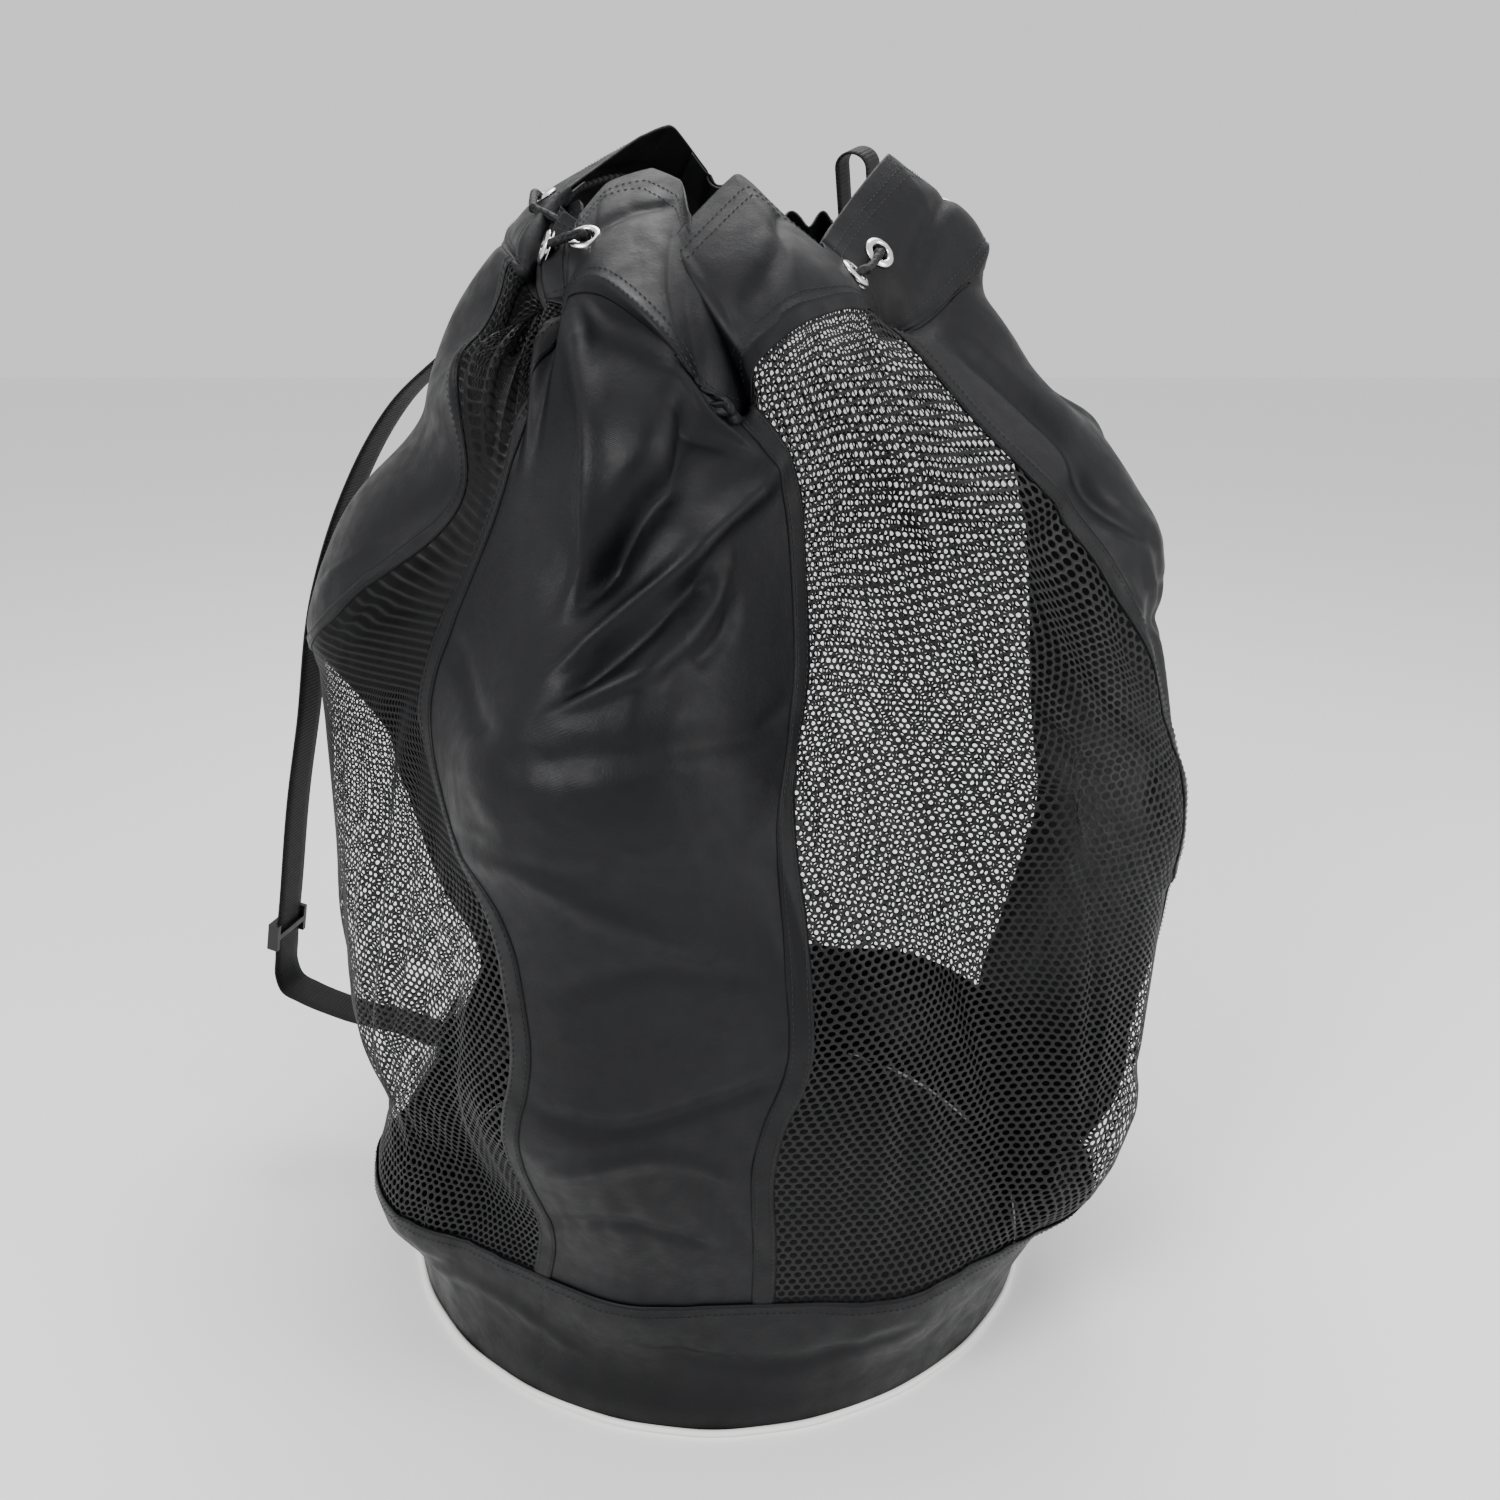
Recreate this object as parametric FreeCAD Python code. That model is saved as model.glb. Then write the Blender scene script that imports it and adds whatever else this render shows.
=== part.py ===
import FreeCAD, Part
import math
import os

# Mesh ball bag, millimetres, +Z up, origin at the middle of the base on the floor.
# Azimuth is measured from the front of the bag (-Y) and grows towards its right (+X).

# Overall sizes
baseRadius = 272.0
bandTopRadius = 300.0
bellyRadius = 356.0
neckRadius = 222.0
bandHeight = 120.0
neckHeight = 784.0
collarLength = 118.0

# Cloth and trim
clothThickness = 3.0
basePanelThickness = 3.0
pipingDiameter = 5.0
baseSeamGap = 0.1
seamStripWidth = 18.0
seamStripThickness = 1.0
seamEndGap = 1.5
collarEdgeGap = 0.5
collarSeamGap = 1.0

# Eyelets and drawcord
eyeletBore = 14.0
eyeletBarrelWall = 1.0
eyeletFlangeDiameter = 25.0
eyeletFlangeThickness = 1.0
eyeletFitGap = 0.1
eyeletFromHem = 30.0
eyeletSpread = 0.26
cordDiameter = 6.0
cordStandOff = 8.0
cordSlant = 35.0
cordEndGap = 3.0
knotDiameter = 15.0
knotTailLength = 46.0

# Carrying strap and its slider
strapWidth = 38.0
strapThickness = 2.4
strapAzimuth = -105.0
strapAnchorReach = 9.0
strapAnchorHeight = 42.0
strapAnchorThickness = 3.0
strapEndGap = 3.2
strapAnchorClearance = 0.9
sliderRim = 5.0
sliderThickness = 5.0
sliderBarHeight = 6.0
sliderSlot = 5.6
sliderFitGap = 0.6

# Small webbing loop on the rear of the mouth
loopWidth = 25.0
loopThickness = 2.2
loopInnerRadius = 13.0
loopLegLength = 24.0
loopGap = 2.0
loopAzimuth = 152.0

# The six panels round the bag: (name, first azimuth, last azimuth, kind, inward lean of its collar piece)
panels = [
    ("front", -31.0, 9.0, "nylon", 46.0),
    ("right_front", 9.0, 78.0, "mesh", 30.0),
    ("right_rear", 78.0, 122.0, "nylon", 16.0),
    ("rear", 122.0, 198.0, "mesh", 22.0),
    ("left_rear", 198.0, 242.0, "nylon", 14.0),
    ("left_front", 242.0, 329.0, "mesh", 38.0),
]

up = FreeCAD.Vector(0, 0, 1)
origin = FreeCAD.Vector(0, 0, 0)


def radial(azimuth):
    angle = math.radians(azimuth)
    return FreeCAD.Vector(math.sin(angle), -math.cos(angle), 0)


def tangential(azimuth):
    angle = math.radians(azimuth)
    return FreeCAD.Vector(math.cos(angle), math.sin(angle), 0)


def at(azimuth, radius, height):
    return radial(azimuth) * radius + up * height


def bodyPoints(shift):
    # Outer line of the filled bag between the band and the neck, moved outwards by shift.
    lower = [(0.0, 0.0), (0.135, 0.76), (0.286, 0.98), (0.42, 1.0)]
    upper = [(0.557, 0.975), (0.693, 0.893), (0.783, 0.735), (0.873, 0.463), (0.941, 0.235), (1.0, 0.0)]
    rise = neckHeight - bandHeight
    points = []
    for share, fill in lower:
        radius = bandTopRadius + (bellyRadius - bandTopRadius) * fill
        points.append((radius + shift, bandHeight + rise * share))
    for share, fill in upper:
        radius = neckRadius + (bellyRadius - neckRadius) * fill
        points.append((radius + shift, bandHeight + rise * share))
    return points


def lineOrCurve(azimuth, points):
    spots = [at(azimuth, radius, height) for radius, height in points]
    if len(spots) == 2:
        return Part.makeLine(spots[0], spots[1])
    curve = Part.BSplineCurve()
    curve.interpolate(spots)
    return curve.toShape()


def sector(outer, inner, start, end):
    # A wall between two upright lines, turned about the bag's axis from one azimuth to another.
    a = lineOrCurve(start, outer)
    b = lineOrCurve(start, inner)
    top = Part.makeLine(at(start, *outer[-1]), at(start, *inner[-1]))
    bottom = Part.makeLine(at(start, *outer[0]), at(start, *inner[0]))
    wire = Part.Wire(Part.__sortEdges__([a, top, b, bottom]))
    return Part.Face(wire).revolve(origin, up, end - start)


def solidOf(shape):
    solid = shape if shape.ShapeType == "Solid" else shape.Solids[0]
    if solid.Volume < 0:
        solid.reverse()
    return solid


def corner(before, here, after, radius):
    # Where a rounded corner starts, its middle and where it ends.
    u = (before - here).normalize()
    v = (after - here).normalize()
    half = u.getAngle(v) / 2.0
    reach = radius / math.tan(half)
    start = here + u * reach
    end = here + v * reach
    centreWay = (u + v).normalize()
    middle = here + centreWay * (radius / math.sin(half) - radius)
    return start, middle, end


def roundedPath(points, radii):
    edges = []
    last = points[0]
    for i in range(1, len(points) - 1):
        start, middle, end = corner(points[i - 1], points[i], points[i + 1], radii[i - 1])
        edges.append(Part.LineSegment(last, start).toShape())
        edges.append(Part.Arc(start, middle, end).toShape())
        last = end
    edges.append(Part.LineSegment(last, points[-1]).toShape())
    return Part.Wire(edges)


def cordRadii(points):
    # The bend at each turn takes 0.45 of the shorter run beside it.
    radii = []
    for i in range(1, len(points) - 1):
        a = points[i] - points[i - 1]
        b = points[i + 1] - points[i]
        turn = a.getAngle(b)
        radii.append(0.45 * min(a.Length, b.Length) / math.tan(turn / 2.0))
    return radii


def sweptCord(points, diameter):
    radii = cordRadii(points)
    path = roundedPath(points, radii)
    way = (points[1] - points[0]).normalize()
    circle = Part.Wire(Part.makeCircle(diameter / 2.0, points[0], way))
    return solidOf(path.makePipeShell([circle], True, True)), path.Length, radii


def ribbonSide(points, radii, side):
    # One face line of a flat strip, side away from its middle line.
    shifted = []
    count = len(points)
    for i in range(count):
        ways = []
        if i > 0:
            ways.append((points[i][0] - points[i - 1][0], points[i][1] - points[i - 1][1]))
        if i < count - 1:
            ways.append((points[i + 1][0] - points[i][0], points[i + 1][1] - points[i][1]))
        normals = [(-b / math.hypot(a, b), a / math.hypot(a, b)) for a, b in ways]
        if len(normals) == 1:
            n = normals[0]
            shifted.append((points[i][0] + n[0] * side, points[i][1] + n[1] * side))
        else:
            sx = normals[0][0] + normals[1][0]
            sy = normals[0][1] + normals[1][1]
            dot = normals[0][0] * normals[1][0] + normals[0][1] * normals[1][1]
            scale = side / (1.0 + dot)
            shifted.append((points[i][0] + sx * scale, points[i][1] + sy * scale))
    turned = []
    for i in range(1, count - 1):
        ax = points[i][0] - points[i - 1][0]
        ay = points[i][1] - points[i - 1][1]
        bx = points[i + 1][0] - points[i][0]
        by = points[i + 1][1] - points[i][1]
        left = ax * by - ay * bx > 0
        turned.append(radii[i - 1] - side if left else radii[i - 1] + side)
    return shifted, turned


def ribbon(place, points, radii, thickness, across, width):
    # A flat strip of webbing: its side line in a plane, then its width across that plane.
    leftPoints, leftRadii = ribbonSide(points, radii, thickness / 2.0)
    rightPoints, rightRadii = ribbonSide(points, radii, -thickness / 2.0)
    left = roundedPath([place(*p) for p in leftPoints], leftRadii)
    right = roundedPath([place(*p) for p in rightPoints], rightRadii)
    startCap = Part.makeLine(place(*leftPoints[0]), place(*rightPoints[0]))
    endCap = Part.makeLine(place(*leftPoints[-1]), place(*rightPoints[-1]))
    edges = left.Edges + right.Edges + [startCap, endCap]
    face = Part.Face(Part.Wire(Part.__sortEdges__(edges)))
    face.translate(across * (-width / 2.0))
    return solidOf(face.extrude(across * width))


def makeBasePanel():
    return Part.makeCylinder(baseRadius - clothThickness - baseSeamGap, basePanelThickness)


def makeBasePiping():
    lean = math.atan2(bandTopRadius - baseRadius, bandHeight)
    half = pipingDiameter / 2.0
    wallRadius = baseRadius + half * math.tan(lean)
    ringRadius = wallRadius + half / math.cos(lean) + baseSeamGap
    return Part.makeTorus(ringRadius, half, FreeCAD.Vector(0, 0, half), up)


def makeLowerBand():
    outer = Part.makeCone(baseRadius, bandTopRadius, bandHeight)
    inner = Part.makeCone(baseRadius - clothThickness, bandTopRadius - clothThickness, bandHeight)
    return solidOf(outer.cut(inner))


def makePanel(start, end):
    return solidOf(sector(bodyPoints(0.0), bodyPoints(-clothThickness), start, end))


def makeSeamStrip(azimuth):
    half = math.degrees(seamStripWidth / 2.0 / bellyRadius)
    return solidOf(sector(bodyPoints(seamStripThickness), bodyPoints(0.0), azimuth - half, azimuth + half))


def collarSpot(azimuth, lean, along, out):
    # A place along the slope of a collar piece and out from its outer face.
    tilt = math.radians(lean)
    radius = neckRadius - along * math.sin(tilt) + out * math.cos(tilt)
    height = neckHeight + collarSeamGap + along * math.cos(tilt) + out * math.sin(tilt)
    return at(azimuth, radius, height)


def collarNormal(azimuth, lean):
    tilt = math.radians(lean)
    return radial(azimuth) * math.cos(tilt) + up * math.sin(tilt)


def eyeletPlaces(start, end):
    middle = (start + end) / 2.0
    spread = (end - start) * eyeletSpread
    return [middle - spread, middle + spread]


def eyeletAlong():
    return collarLength - eyeletFromHem


def makeCollarPiece(start, end, lean):
    tilt = math.radians(lean)
    low = neckHeight + collarSeamGap
    high = low + collarLength * math.cos(tilt)
    hemRadius = neckRadius - collarLength * math.sin(tilt)
    wall = clothThickness / math.cos(tilt)
    outer = [(neckRadius, low), (hemRadius, high)]
    inner = [(neckRadius - wall, low), (hemRadius - wall, high)]
    gap = math.degrees(collarEdgeGap / hemRadius)
    piece = sector(outer, inner, start + gap, end - gap)
    bore = eyeletBore / 2.0 + eyeletBarrelWall + eyeletFitGap
    for azimuth in eyeletPlaces(start, end):
        foot = collarSpot(azimuth, lean, eyeletAlong(), -15.0)
        piece = piece.cut(Part.makeCylinder(bore, 30.0, foot, collarNormal(azimuth, lean)))
    return solidOf(piece)


def washerDrop(lean):
    # How far the flat washer stands inside the curved cloth so that its rim only meets it.
    radius = neckRadius - collarLength * math.sin(math.radians(lean))
    half = eyeletFlangeDiameter / 2.0
    return clothThickness + half * half / 2.0 / radius + 0.15


def makeEyelets(start, end, lean):
    rings = []
    drop = washerDrop(lean) + eyeletFlangeThickness
    for azimuth in eyeletPlaces(start, end):
        way = collarNormal(azimuth, lean)
        face = collarSpot(azimuth, lean, eyeletAlong(), 0.0)
        foot = collarSpot(azimuth, lean, eyeletAlong(), -drop)
        flange = Part.makeCylinder(eyeletFlangeDiameter / 2.0, eyeletFlangeThickness, face, way)
        barrel = Part.makeCylinder(eyeletBore / 2.0 + eyeletBarrelWall, drop, foot, way)
        bore = Part.makeCylinder(eyeletBore / 2.0, 40.0, face - way * 20.0, way)
        rings.append(solidOf(flange.fuse(barrel).removeSplitter().cut(bore)))
    return Part.makeCompound(rings)


def makeEyeletWashers(start, end, lean):
    rings = []
    drop = washerDrop(lean) + eyeletFlangeThickness
    for azimuth in eyeletPlaces(start, end):
        way = collarNormal(azimuth, lean)
        foot = collarSpot(azimuth, lean, eyeletAlong(), -drop)
        ring = Part.makeCylinder(eyeletFlangeDiameter / 2.0, eyeletFlangeThickness, foot, way)
        holeRadius = eyeletBore / 2.0 + eyeletBarrelWall + eyeletFitGap / 2.0
        hole = Part.makeCylinder(holeRadius, 4.0, foot - way, way)
        rings.append(solidOf(ring.cut(hole)))
    return Part.makeCompound(rings)


def cordPoints(start, end, lean):
    # Outside the collar to the first eyelet, in through it, along the inside, out through the second.
    radius = neckRadius - eyeletAlong() * math.sin(math.radians(lean))
    inside = -cordStandOff - clothThickness
    across = (2.0 * cordStandOff + clothThickness) * math.tan(math.radians(cordSlant))
    step = math.degrees(across / 2.0 / radius)
    edge = math.degrees(cordEndGap / radius)
    first, second = eyeletPlaces(start, end)
    middle = (start + end) / 2.0
    route = [
        (start + edge, cordStandOff),
        (first - step, cordStandOff),
        (first + step, inside),
        (middle, inside),
        (second - step, inside),
        (second + step, cordStandOff),
        (end - edge, cordStandOff),
    ]
    return [collarSpot(azimuth, lean, eyeletAlong(), out) for azimuth, out in route]


def makeDrawcord(name, start, end, lean):
    solid, length, radii = sweptCord(cordPoints(start, end, lean), cordDiameter)
    print("drawcord", name, "length", round(length, 1), "bends", [round(r, 1) for r in radii])
    return solid


def makeDrawcordKnot(start, end, lean):
    middle = (start + end) / 2.0
    inside = -cordStandOff - clothThickness - 0.3
    centre = collarSpot(middle, lean, eyeletAlong(), inside)
    ball = Part.makeSphere(knotDiameter / 2.0, centre)
    knot = ball
    for side in (-1.0, 1.0):
        down = collarSpot(middle, lean, 0.0, inside - 5.0) - centre
        way = (down.normalize() + tangential(middle) * 0.28 * side).normalize()
        tail = Part.makeCylinder(cordDiameter / 2.0, knotTailLength, centre, way)
        knot = knot.fuse(tail)
    return solidOf(knot)


def strapPlace(radius, height):
    return at(strapAzimuth, radius, height)


def bagRadiusAt(height):
    # The bag's outer radius at a height, read from the same curve that the panels are turned from.
    curve = Part.BSplineCurve()
    curve.interpolate([FreeCAD.Vector(radius, 0, z) for radius, z in bodyPoints(0.0)])
    low = curve.FirstParameter
    high = curve.LastParameter
    for step in range(40):
        middle = (low + high) / 2.0
        if curve.value(middle).z < height:
            low = middle
        else:
            high = middle
    return curve.value(low).x


def strapCorners():
    rise = neckHeight - bandHeight
    topHeight = neckHeight - strapAnchorHeight / 2.0
    bottomHeight = bandHeight + strapAnchorHeight / 2.0
    topStart = bagRadiusAt(topHeight) + strapAnchorReach + strapAnchorThickness + strapEndGap
    bottomStart = bagRadiusAt(bottomHeight) + strapAnchorReach + strapEndGap
    return [
        (topStart, topHeight),
        (bellyRadius + 20.0, neckHeight - 0.27 * rise),
        (bellyRadius + 34.0, bandHeight + 0.44 * rise),
        (bellyRadius + 84.0, bandHeight + 0.075 * rise),
        (bottomStart, bottomHeight - 14.0),
    ]


def makeShoulderStrap():
    radii = [90.0, 160.0, 22.0]
    return ribbon(strapPlace, strapCorners(), radii, strapThickness, tangential(strapAzimuth), strapWidth)


def strapRun():
    # The straight stretch the slider moves on: its lower end and its upward direction.
    corners = strapCorners()
    low = strapPlace(*corners[3])
    high = strapPlace(*corners[2])
    return low, (high - low).normalize()


def makeStrapSlider():
    low, way = strapRun()
    across = tangential(strapAzimuth)
    out = way.cross(across).normalize()
    if out.dot(radial(strapAzimuth)) < 0:
        out = out * -1.0
    height = 2.0 * sliderRim + 2.0 * sliderSlot + sliderBarHeight
    width = strapWidth + 2.0 * sliderRim + 2.0 * sliderFitGap
    centre = low + way * 58.0
    inner = strapThickness / 2.0 + sliderFitGap
    start = centre - across * (width / 2.0) - way * (height / 2.0) + out * inner
    frame = plate(start, across, way, out, width, height, sliderThickness)
    for step in (0, 1):
        rise = sliderRim + step * (sliderSlot + sliderBarHeight)
        foot = start + across * sliderRim + way * rise - out * 2.0
        cutter = plate(foot, across, way, out, width - 2.0 * sliderRim, sliderSlot, sliderThickness + 4.0)
        frame = frame.cut(cutter)
    for step in (0, 1):
        side = start + across * (step * (width - sliderRim)) - out * (2.0 * inner + 2.0)
        cheek = plate(side, across, way, out, sliderRim - sliderFitGap, height, 2.0 * inner + 2.5)
        if step == 1:
            cheek.translate(across * sliderFitGap)
        frame = frame.fuse(cheek)
    backBar = start + way * (sliderRim + sliderSlot) - out * (2.0 * inner + 2.0)
    frame = frame.fuse(plate(backBar, across, way, out, width, sliderBarHeight, 2.0))
    return solidOf(frame.removeSplitter())


def plate(start, a, b, c, la, lb, lc):
    corners = [start, start + a * la, start + a * la + b * lb, start + b * lb, start]
    return Part.Face(Part.makePolygon(corners)).extrude(c * lc)


def makeStrapAnchor(height, reach, extra):
    # A folded tab of webbing sewn on the cloth, standing out to where the strap begins.
    low = height - strapAnchorHeight / 2.0
    high = height + strapAnchorHeight / 2.0
    half = strapWidth / 2.0
    low = max(low, bandHeight + 1.0)
    high = min(high, neckHeight - 1.0)
    steps = 20
    outer = []
    for i in range(steps + 1):
        z = low + (high - low) * i / steps
        outer.append((z, bagRadiusAt(z) + strapAnchorClearance))
    spots = [(r, z) for z, r in outer]
    skin = [(r + strapAnchorThickness, z) for z, r in outer]
    loop = spots + skin[::-1] + [spots[0]]
    across = tangential(strapAzimuth)
    face = Part.Face(Part.makePolygon([strapPlace(r, z) for r, z in loop]))
    face.translate(across * -half)
    patch = face.extrude(across * strapWidth)
    tipRadius = reach - strapEndGap
    tip = (tipRadius, extra)
    depth = 3.2
    widest = max(bagRadiusAt(extra - depth), bagRadiusAt(min(extra + depth, neckHeight)))
    root = (widest + strapAnchorClearance, extra)
    nose = [(root[0], root[1] - depth), (tip[0], tip[1] - depth)]
    nose += [(tip[0], tip[1] + depth), (root[0], root[1] + depth)]
    noseFace = Part.Face(Part.makePolygon([strapPlace(r, z) for r, z in nose + [nose[0]]]))
    noseFace.translate(across * -half)
    patch = patch.fuse(noseFace.extrude(across * strapWidth))
    return solidOf(patch.removeSplitter())


def makeHaulLoop(lean):
    # An upright loop of webbing above the hem of the rear collar piece.
    tilt = math.radians(lean)
    slope = up * math.cos(tilt) - radial(loopAzimuth) * math.sin(tilt)
    across = collarNormal(loopAzimuth, lean)
    foot = collarSpot(loopAzimuth, lean, collarLength + loopGap, -clothThickness / 2.0)
    side = tangential(loopAzimuth)

    def place(a, b):
        return foot + side * a + slope * b

    middle = loopInnerRadius + loopThickness / 2.0
    points = [(-middle, 0.0), (-middle, loopLegLength), (middle, loopLegLength), (middle, 0.0)]
    radii = [middle * 0.92, middle * 0.92]
    return ribbon(place, points, radii, loopThickness, across, loopWidth)


def hingeLine(start, end):
    middle = (start + end) / 2.0
    return at(middle, neckRadius, neckHeight + collarSeamGap), tangential(middle)


def main():
    parts = {}
    parts["base_panel"] = makeBasePanel()
    parts["base_piping"] = makeBasePiping()
    parts["lower_band"] = makeLowerBand()
    for name, start, end, kind, lean in panels:
        parts[kind + "_panel_" + name] = makePanel(start, end)
        parts["seam_" + name] = makeSeamStrip(start)
        parts["collar_" + name] = makeCollarPiece(start, end, lean)
        parts["eyelets_" + name] = makeEyelets(start, end, lean)
        parts["eyelet_washers_" + name] = makeEyeletWashers(start, end, lean)
        parts["drawcord_" + name] = makeDrawcord(name, start, end, lean)
        hinge, way = hingeLine(start, end)
        print("hinge", name, [round(v, 4) for v in hinge], [round(v, 6) for v in way], "lean", lean)
        if name == "rear":
            parts["drawcord_knot"] = makeDrawcordKnot(start, end, lean)
            parts["haul_loop"] = makeHaulLoop(lean)
            foot = collarSpot(loopAzimuth, lean, collarLength + loopGap, -clothThickness / 2.0)
            print("loop hinge", [round(v, 4) for v in foot], [round(v, 6) for v in tangential(loopAzimuth)])
    corners = strapCorners()
    parts["shoulder_strap"] = makeShoulderStrap()
    parts["strap_slider"] = makeStrapSlider()
    topMiddle = neckHeight - strapAnchorHeight / 2.0
    bottomMiddle = bandHeight + strapAnchorHeight / 2.0
    parts["strap_anchor_top"] = makeStrapAnchor(topMiddle, corners[0][0], corners[0][1])
    parts["strap_anchor_bottom"] = makeStrapAnchor(bottomMiddle, corners[4][0], corners[4][1])
    low, way = strapRun()
    print("strap top end", [round(v, 4) for v in strapPlace(*corners[0])])
    print("strap lower end", [round(v, 4) for v in strapPlace(*corners[4])])
    print("strap run", [round(v, 4) for v in low], [round(v, 6) for v in way])
    os.makedirs("parts", exist_ok=True)
    for name, shape in parts.items():
        box = shape.BoundBox
        size = [round(v, 1) for v in (box.XMin, box.XMax, box.YMin, box.YMax, box.ZMin, box.ZMax)]
        print(name, shape.isValid(), len(shape.Solids), round(shape.Volume, 1), size)
        shape.exportStep("parts/" + name + ".step")


main()
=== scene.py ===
import math
import bpy
import bmesh
import numpy as np
from mathutils import Vector, Matrix


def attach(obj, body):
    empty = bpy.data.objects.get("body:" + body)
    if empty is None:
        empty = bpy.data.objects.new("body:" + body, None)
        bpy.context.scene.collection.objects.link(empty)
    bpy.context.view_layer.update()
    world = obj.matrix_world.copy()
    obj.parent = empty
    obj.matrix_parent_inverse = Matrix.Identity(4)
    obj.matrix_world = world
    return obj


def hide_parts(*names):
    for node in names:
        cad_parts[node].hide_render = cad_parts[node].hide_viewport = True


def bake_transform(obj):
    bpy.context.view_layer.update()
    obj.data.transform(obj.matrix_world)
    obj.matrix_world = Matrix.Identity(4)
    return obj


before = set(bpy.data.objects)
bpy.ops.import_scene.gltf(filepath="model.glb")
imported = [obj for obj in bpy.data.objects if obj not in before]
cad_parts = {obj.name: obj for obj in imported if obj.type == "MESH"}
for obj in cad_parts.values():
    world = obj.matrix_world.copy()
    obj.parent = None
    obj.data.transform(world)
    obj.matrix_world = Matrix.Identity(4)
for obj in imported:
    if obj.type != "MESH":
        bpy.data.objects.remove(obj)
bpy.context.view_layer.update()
scene = bpy.context.scene
print("frame loaded")

# shader helpers


class Shade:
    def __init__(self, tree, socket):
        self.tree = tree
        self.socket = socket

    def math(self, kind, other):
        node = self.tree.nodes.new("ShaderNodeMath")
        node.operation = kind
        self.tree.links.new(self.socket, node.inputs[0])
        if isinstance(other, Shade):
            self.tree.links.new(other.socket, node.inputs[1])
        else:
            node.inputs[1].default_value = other
        return Shade(self.tree, node.outputs[0])

    def __add__(self, other):
        return self.math("ADD", other)

    def __sub__(self, other):
        return self.math("SUBTRACT", other)

    def __mul__(self, other):
        return self.math("MULTIPLY", other)

    def high(self, other):
        return self.math("MAXIMUM", other)


class Mat:
    def __init__(self, name, color, roughness, **settings):
        self.material = bpy.data.materials.new(name)
        self.material.use_nodes = True
        self.tree = self.material.node_tree
        self.shader = self.tree.nodes["Principled BSDF"]
        self.shader.inputs["Base Color"].default_value = (*color, 1.0)
        self.shader.inputs["Roughness"].default_value = roughness
        for key, value in settings.items():
            self.shader.inputs[key].default_value = value

    def node(self, kind, output, inputs, **settings):
        node = self.tree.nodes.new(kind)
        for key, value in settings.items():
            setattr(node, key, value)
        for key, value in inputs.items():
            if isinstance(value, Shade):
                self.tree.links.new(value.socket, node.inputs[key])
            else:
                node.inputs[key].default_value = value
        return Shade(self.tree, node.outputs[output])

    def place(self, what):
        return self.node("ShaderNodeTexCoord", what, {})

    def noise(self, where, scale, detail):
        return self.node("ShaderNodeTexNoise", 0, {"Vector": where, "Scale": scale, "Detail": detail})

    def ramp(self, value, low, high, toLow, toHigh):
        values = {0: value, 1: low, 2: high, 3: toLow, 4: toHigh}
        return self.node("ShaderNodeMapRange", 0, values)

    def blendColors(self, share, first, second):
        mix = self.tree.nodes.new("ShaderNodeMix")
        mix.data_type = "RGBA"
        self.tree.links.new(share.socket, mix.inputs[0])
        mix.inputs[6].default_value = (*first, 1.0)
        mix.inputs[7].default_value = (*second, 1.0)
        return Shade(self.tree, mix.outputs[2])

    def to(self, name, value):
        self.tree.links.new(value.socket, self.shader.inputs[name])

    def bump(self, height, distance, strength, under=None):
        inputs = {"Height": height, "Distance": distance, "Strength": strength}
        if under is not None:
            inputs["Normal"] = under
        return self.node("ShaderNodeBump", 0, inputs)


def wave(mat, where, scale, direction):
    return mat.node("ShaderNodeTexWave", 1, {"Vector": where, "Scale": scale},
                    wave_type="BANDS", bands_direction=direction)


def nylonMaterial(name, color):
    mat = Mat(name, color, 0.45, **{"Specular IOR Level": 0.2})
    spot = mat.place("Object")
    cloth = mat.place("UV")
    broad = mat.noise(spot, 9.0, 3.0)
    fine = mat.noise(spot, 70.0, 4.0)
    grain = mat.noise(spot, 420.0, 2.0)
    warp = wave(mat, cloth, 420.0, "X")
    weft = wave(mat, cloth, 420.0, "Y")
    lighter = tuple(c * 1.5 + 0.0006 for c in color)
    mat.to("Base Color", mat.blendColors(mat.ramp(broad, 0.35, 0.7, 0.0, 1.0), color, lighter))
    mat.to("Roughness", mat.ramp(fine, 0.3, 0.75, 0.36, 0.56))
    crease = mat.bump(fine, 0.0012, 0.35)
    pebble = mat.bump(grain, 0.0004, 0.35, crease)
    weave = mat.bump(warp + weft, 0.00012, 0.35, pebble)
    mat.to("Normal", weave)
    return mat.material


def meshMaterial():
    mat = Mat("knittedYarn", (0.004, 0.004, 0.005), 0.5, **{"Specular IOR Level": 0.25})
    spot = mat.place("Object")
    tone = mat.noise(spot, 30.0, 3.0)
    strand = mat.noise(spot, 900.0, 2.0)
    mat.to("Base Color", mat.blendColors(tone, (0.0025, 0.0025, 0.003), (0.006, 0.006, 0.007)))
    mat.to("Roughness", mat.ramp(tone, 0.3, 0.7, 0.42, 0.6))
    mat.to("Normal", mat.bump(strand, 0.0003, 0.4))
    return mat.material


def webbingMaterial():
    mat = Mat("webbingWeave", (0.004, 0.004, 0.005), 0.6, **{"Specular IOR Level": 0.25})
    cloth = mat.place("UV")
    ribs = wave(mat, cloth, 95.0, "Y")
    lines = wave(mat, cloth, 160.0, "X")
    tone = mat.noise(mat.place("Object"), 60.0, 3.0)
    mat.to("Base Color", mat.blendColors(tone, (0.0025, 0.0025, 0.003), (0.006, 0.006, 0.007)))
    mat.to("Normal", mat.bump(ribs * 0.8 + lines * 0.4, 0.0005, 0.7))
    return mat.material


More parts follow.
